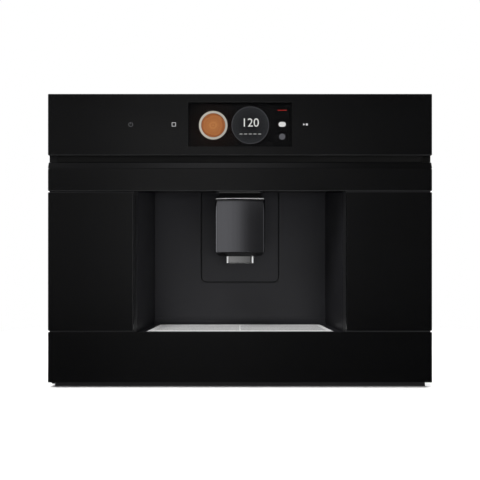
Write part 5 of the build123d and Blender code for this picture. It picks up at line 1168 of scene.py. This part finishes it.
def add_spindle(drive, steel):
    """Lead screw with its round thread and its thrust collar."""
    low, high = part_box("brew_spindle")
    collar, length = (high.x - low.x) / 2, high.z - low.z
    rod, chamfer = collar - 2.5 * MM, 0.4 * MM
    core = rod - drive.thread_ridge
    seat, over = length - 10.2 * MM, length - 7.2 * MM
    profile = [
        (core - chamfer, 0), (core, chamfer), (core, seat - 1 * MM), (rod, seat - 0.6 * MM), (rod, seat),
        (collar - chamfer, seat), (collar, seat + chamfer), (collar, over - chamfer), (collar - chamfer, over),
        (rod, over), (rod, length - chamfer), (rod - chamfer, length)]
    shape = bridged([[(x, y, z) for x, y in circle(0, 0, radius, 40)] for radius, z in profile])
    height, foot = seat - 4 * MM, 1.5 * MM
    thread = grow(thread_rule(), {
        "Radius": core, "Turns": height / drive.thread_pitch, "Height": height, "Ridge": drive.thread_ridge,
        "Finish": steel})
    thread.transform(Matrix.Translation((0, 0, foot)))
    shape.from_mesh(thread)
    bpy.data.meshes.remove(thread)
    mesh = from_bmesh(shape, 30)
    mesh.transform(Matrix.Translation(((low.x + high.x) / 2, (low.y + high.y) / 2, low.z)))
    piece("brew_spindle_threaded", mesh, steel, "spindle", "brew_spindle")


class COFFEE_OT_grinder(bpy.types.Operator):
    """Grinder with its burrs, and the ribbed knob that sets it"""

    bl_idname = "coffee.grinder"
    bl_label = "Grinder"

    def execute(self, context):
        dress(moulded("grinder plastic", (0.045, 0.045, 0.048), 0.5), "grinder_housing")
        dress(moulded("burr ceramic", (0.72, 0.70, 0.66), 0.55, gloss=0.4), "burr_ring", "burr_cone")
        dress(galvanised("grinder motor steel", (0.48, 0.48, 0.47), 0.36, 160.0), "grinder_motor")
        plastic = moulded("knob plastic", (0.07, 0.07, 0.073), 0.4)
        dress(plastic, "grind_knob")
        add_knob_ribs(context.scene.coffee_body.knob_ribs, plastic)
        return {"FINISHED"}


def add_knob_ribs(count, plastic):
    """Ribs round the knob, which is at the front end of its long shaft."""
    low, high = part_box("grind_knob")
    knob_length = 10 * MM
    mesh = grow(ribs_rule(), {
        "Radius": (high.x - low.x) / 2, "Count": count, "Rib radius": 0.45 * MM, "Length": knob_length - 3 * MM,
        "Finish": plastic})
    centre = Vector(((low.x + high.x) / 2, low.y + knob_length / 2, (low.z + high.z) / 2))
    mesh.transform(Matrix.Translation(centre) @ Matrix.Rotation(math.radians(90), 4, "X"))
    piece("knob_ribs", mesh, plastic, "knob")


class COFFEE_OT_water_circuit(bpy.types.Operator):
    """Pump, heater and hoses"""

    bl_idname = "coffee.water_circuit"
    bl_label = "Water circuit"

    def execute(self, context):
        dress(moulded("pump body", (0.07, 0.07, 0.072), 0.5), "pump")
        dress(moulded("saddle rubber", (0.02, 0.02, 0.02), 0.75, gloss=0.3), "pump_mounts")
        dress(moulded("cast heater", (0.42, 0.42, 0.41), 0.5, 500.0, 0.0001), "heater")
        dress(moulded("hose silicone", (0.62, 0.6, 0.56), 0.45, change=0.04), "hoses")
        return {"FINISHED"}


class COFFEE_OT_electrics(bpy.types.Operator):
    """Control board above the niche"""

    bl_idname = "coffee.electrics"
    bl_label = "Electrics"

    def execute(self, context):
        dress(moulded("circuit board", (0.012, 0.06, 0.03), 0.4, 2000.0), "control_board")
        return {"FINISHED"}


class COFFEE_OT_door_inner(bpy.types.Operator):
    """Frame, liner, magnets and hinge bushes of the door"""

    bl_idname = "coffee.door_inner"
    bl_label = "Door inner"

    def execute(self, context):
        dress(moulded("door frame lacquer", (0.014, 0.014, 0.015), 0.4), "door_frame")
        dress(moulded("door liner plastic", (0.03, 0.03, 0.032), 0.5), "door_liner")
        dress(brushed("magnet nickel", (0.55, 0.54, 0.52), 0.25), "door_magnets")
        dress(moulded("bearing plastic", (0.55, 0.54, 0.5), 0.45), "hinge_bushes")
        return {"FINISHED"}


# ---------------------------------------------------------------- panel and registration
STEPS = (
    COFFEE_OT_stage, COFFEE_OT_glass_front, COFFEE_OT_grip_bar, COFFEE_OT_display, COFFEE_OT_touch_symbols,
    COFFEE_OT_niche, COFFEE_OT_drip_grille, COFFEE_OT_outlet, COFFEE_OT_body_sheets, COFFEE_OT_screws,
    COFFEE_OT_bays, COFFEE_OT_brew_unit, COFFEE_OT_grinder, COFFEE_OT_water_circuit, COFFEE_OT_electrics,
    COFFEE_OT_door_inner,
)
GROUPS = {
    "coffee_front": FrontSettings, "coffee_niche": NicheSettings, "coffee_body": BodySettings,
    "coffee_drive": DriveSettings, "coffee_studio": StudioSettings,
}


class COFFEE_PT_machine(bpy.types.Panel):
    bl_idname = "COFFEE_PT_machine"
    bl_label = "Built-in coffee machine"
    bl_space_type = "VIEW_3D"
    bl_region_type = "UI"
    bl_category = "Coffee machine"

    def draw(self, context):
        for name, kind in GROUPS.items():
            box = self.layout.box()
            for key in kind.__annotations__:
                box.prop(getattr(context.scene, name), key)
        for step in STEPS:
            self.layout.operator(step.bl_idname)


def register():
    for kind in (*GROUPS.values(), *STEPS, COFFEE_PT_machine):
        bpy.utils.register_class(kind)
    for name, kind in GROUPS.items():
        setattr(bpy.types.Scene, name, bpy.props.PointerProperty(type=kind))


def unregister():
    for name in GROUPS:
        delattr(bpy.types.Scene, name)
    for kind in (COFFEE_PT_machine, *STEPS[::-1], *GROUPS.values()):
        bpy.utils.unregister_class(kind)


def main():
    register()
    for step in STEPS:
        family, name = step.bl_idname.split(".")
        getattr(getattr(bpy.ops, family), name)()


if __name__ == "__main__":
    main()
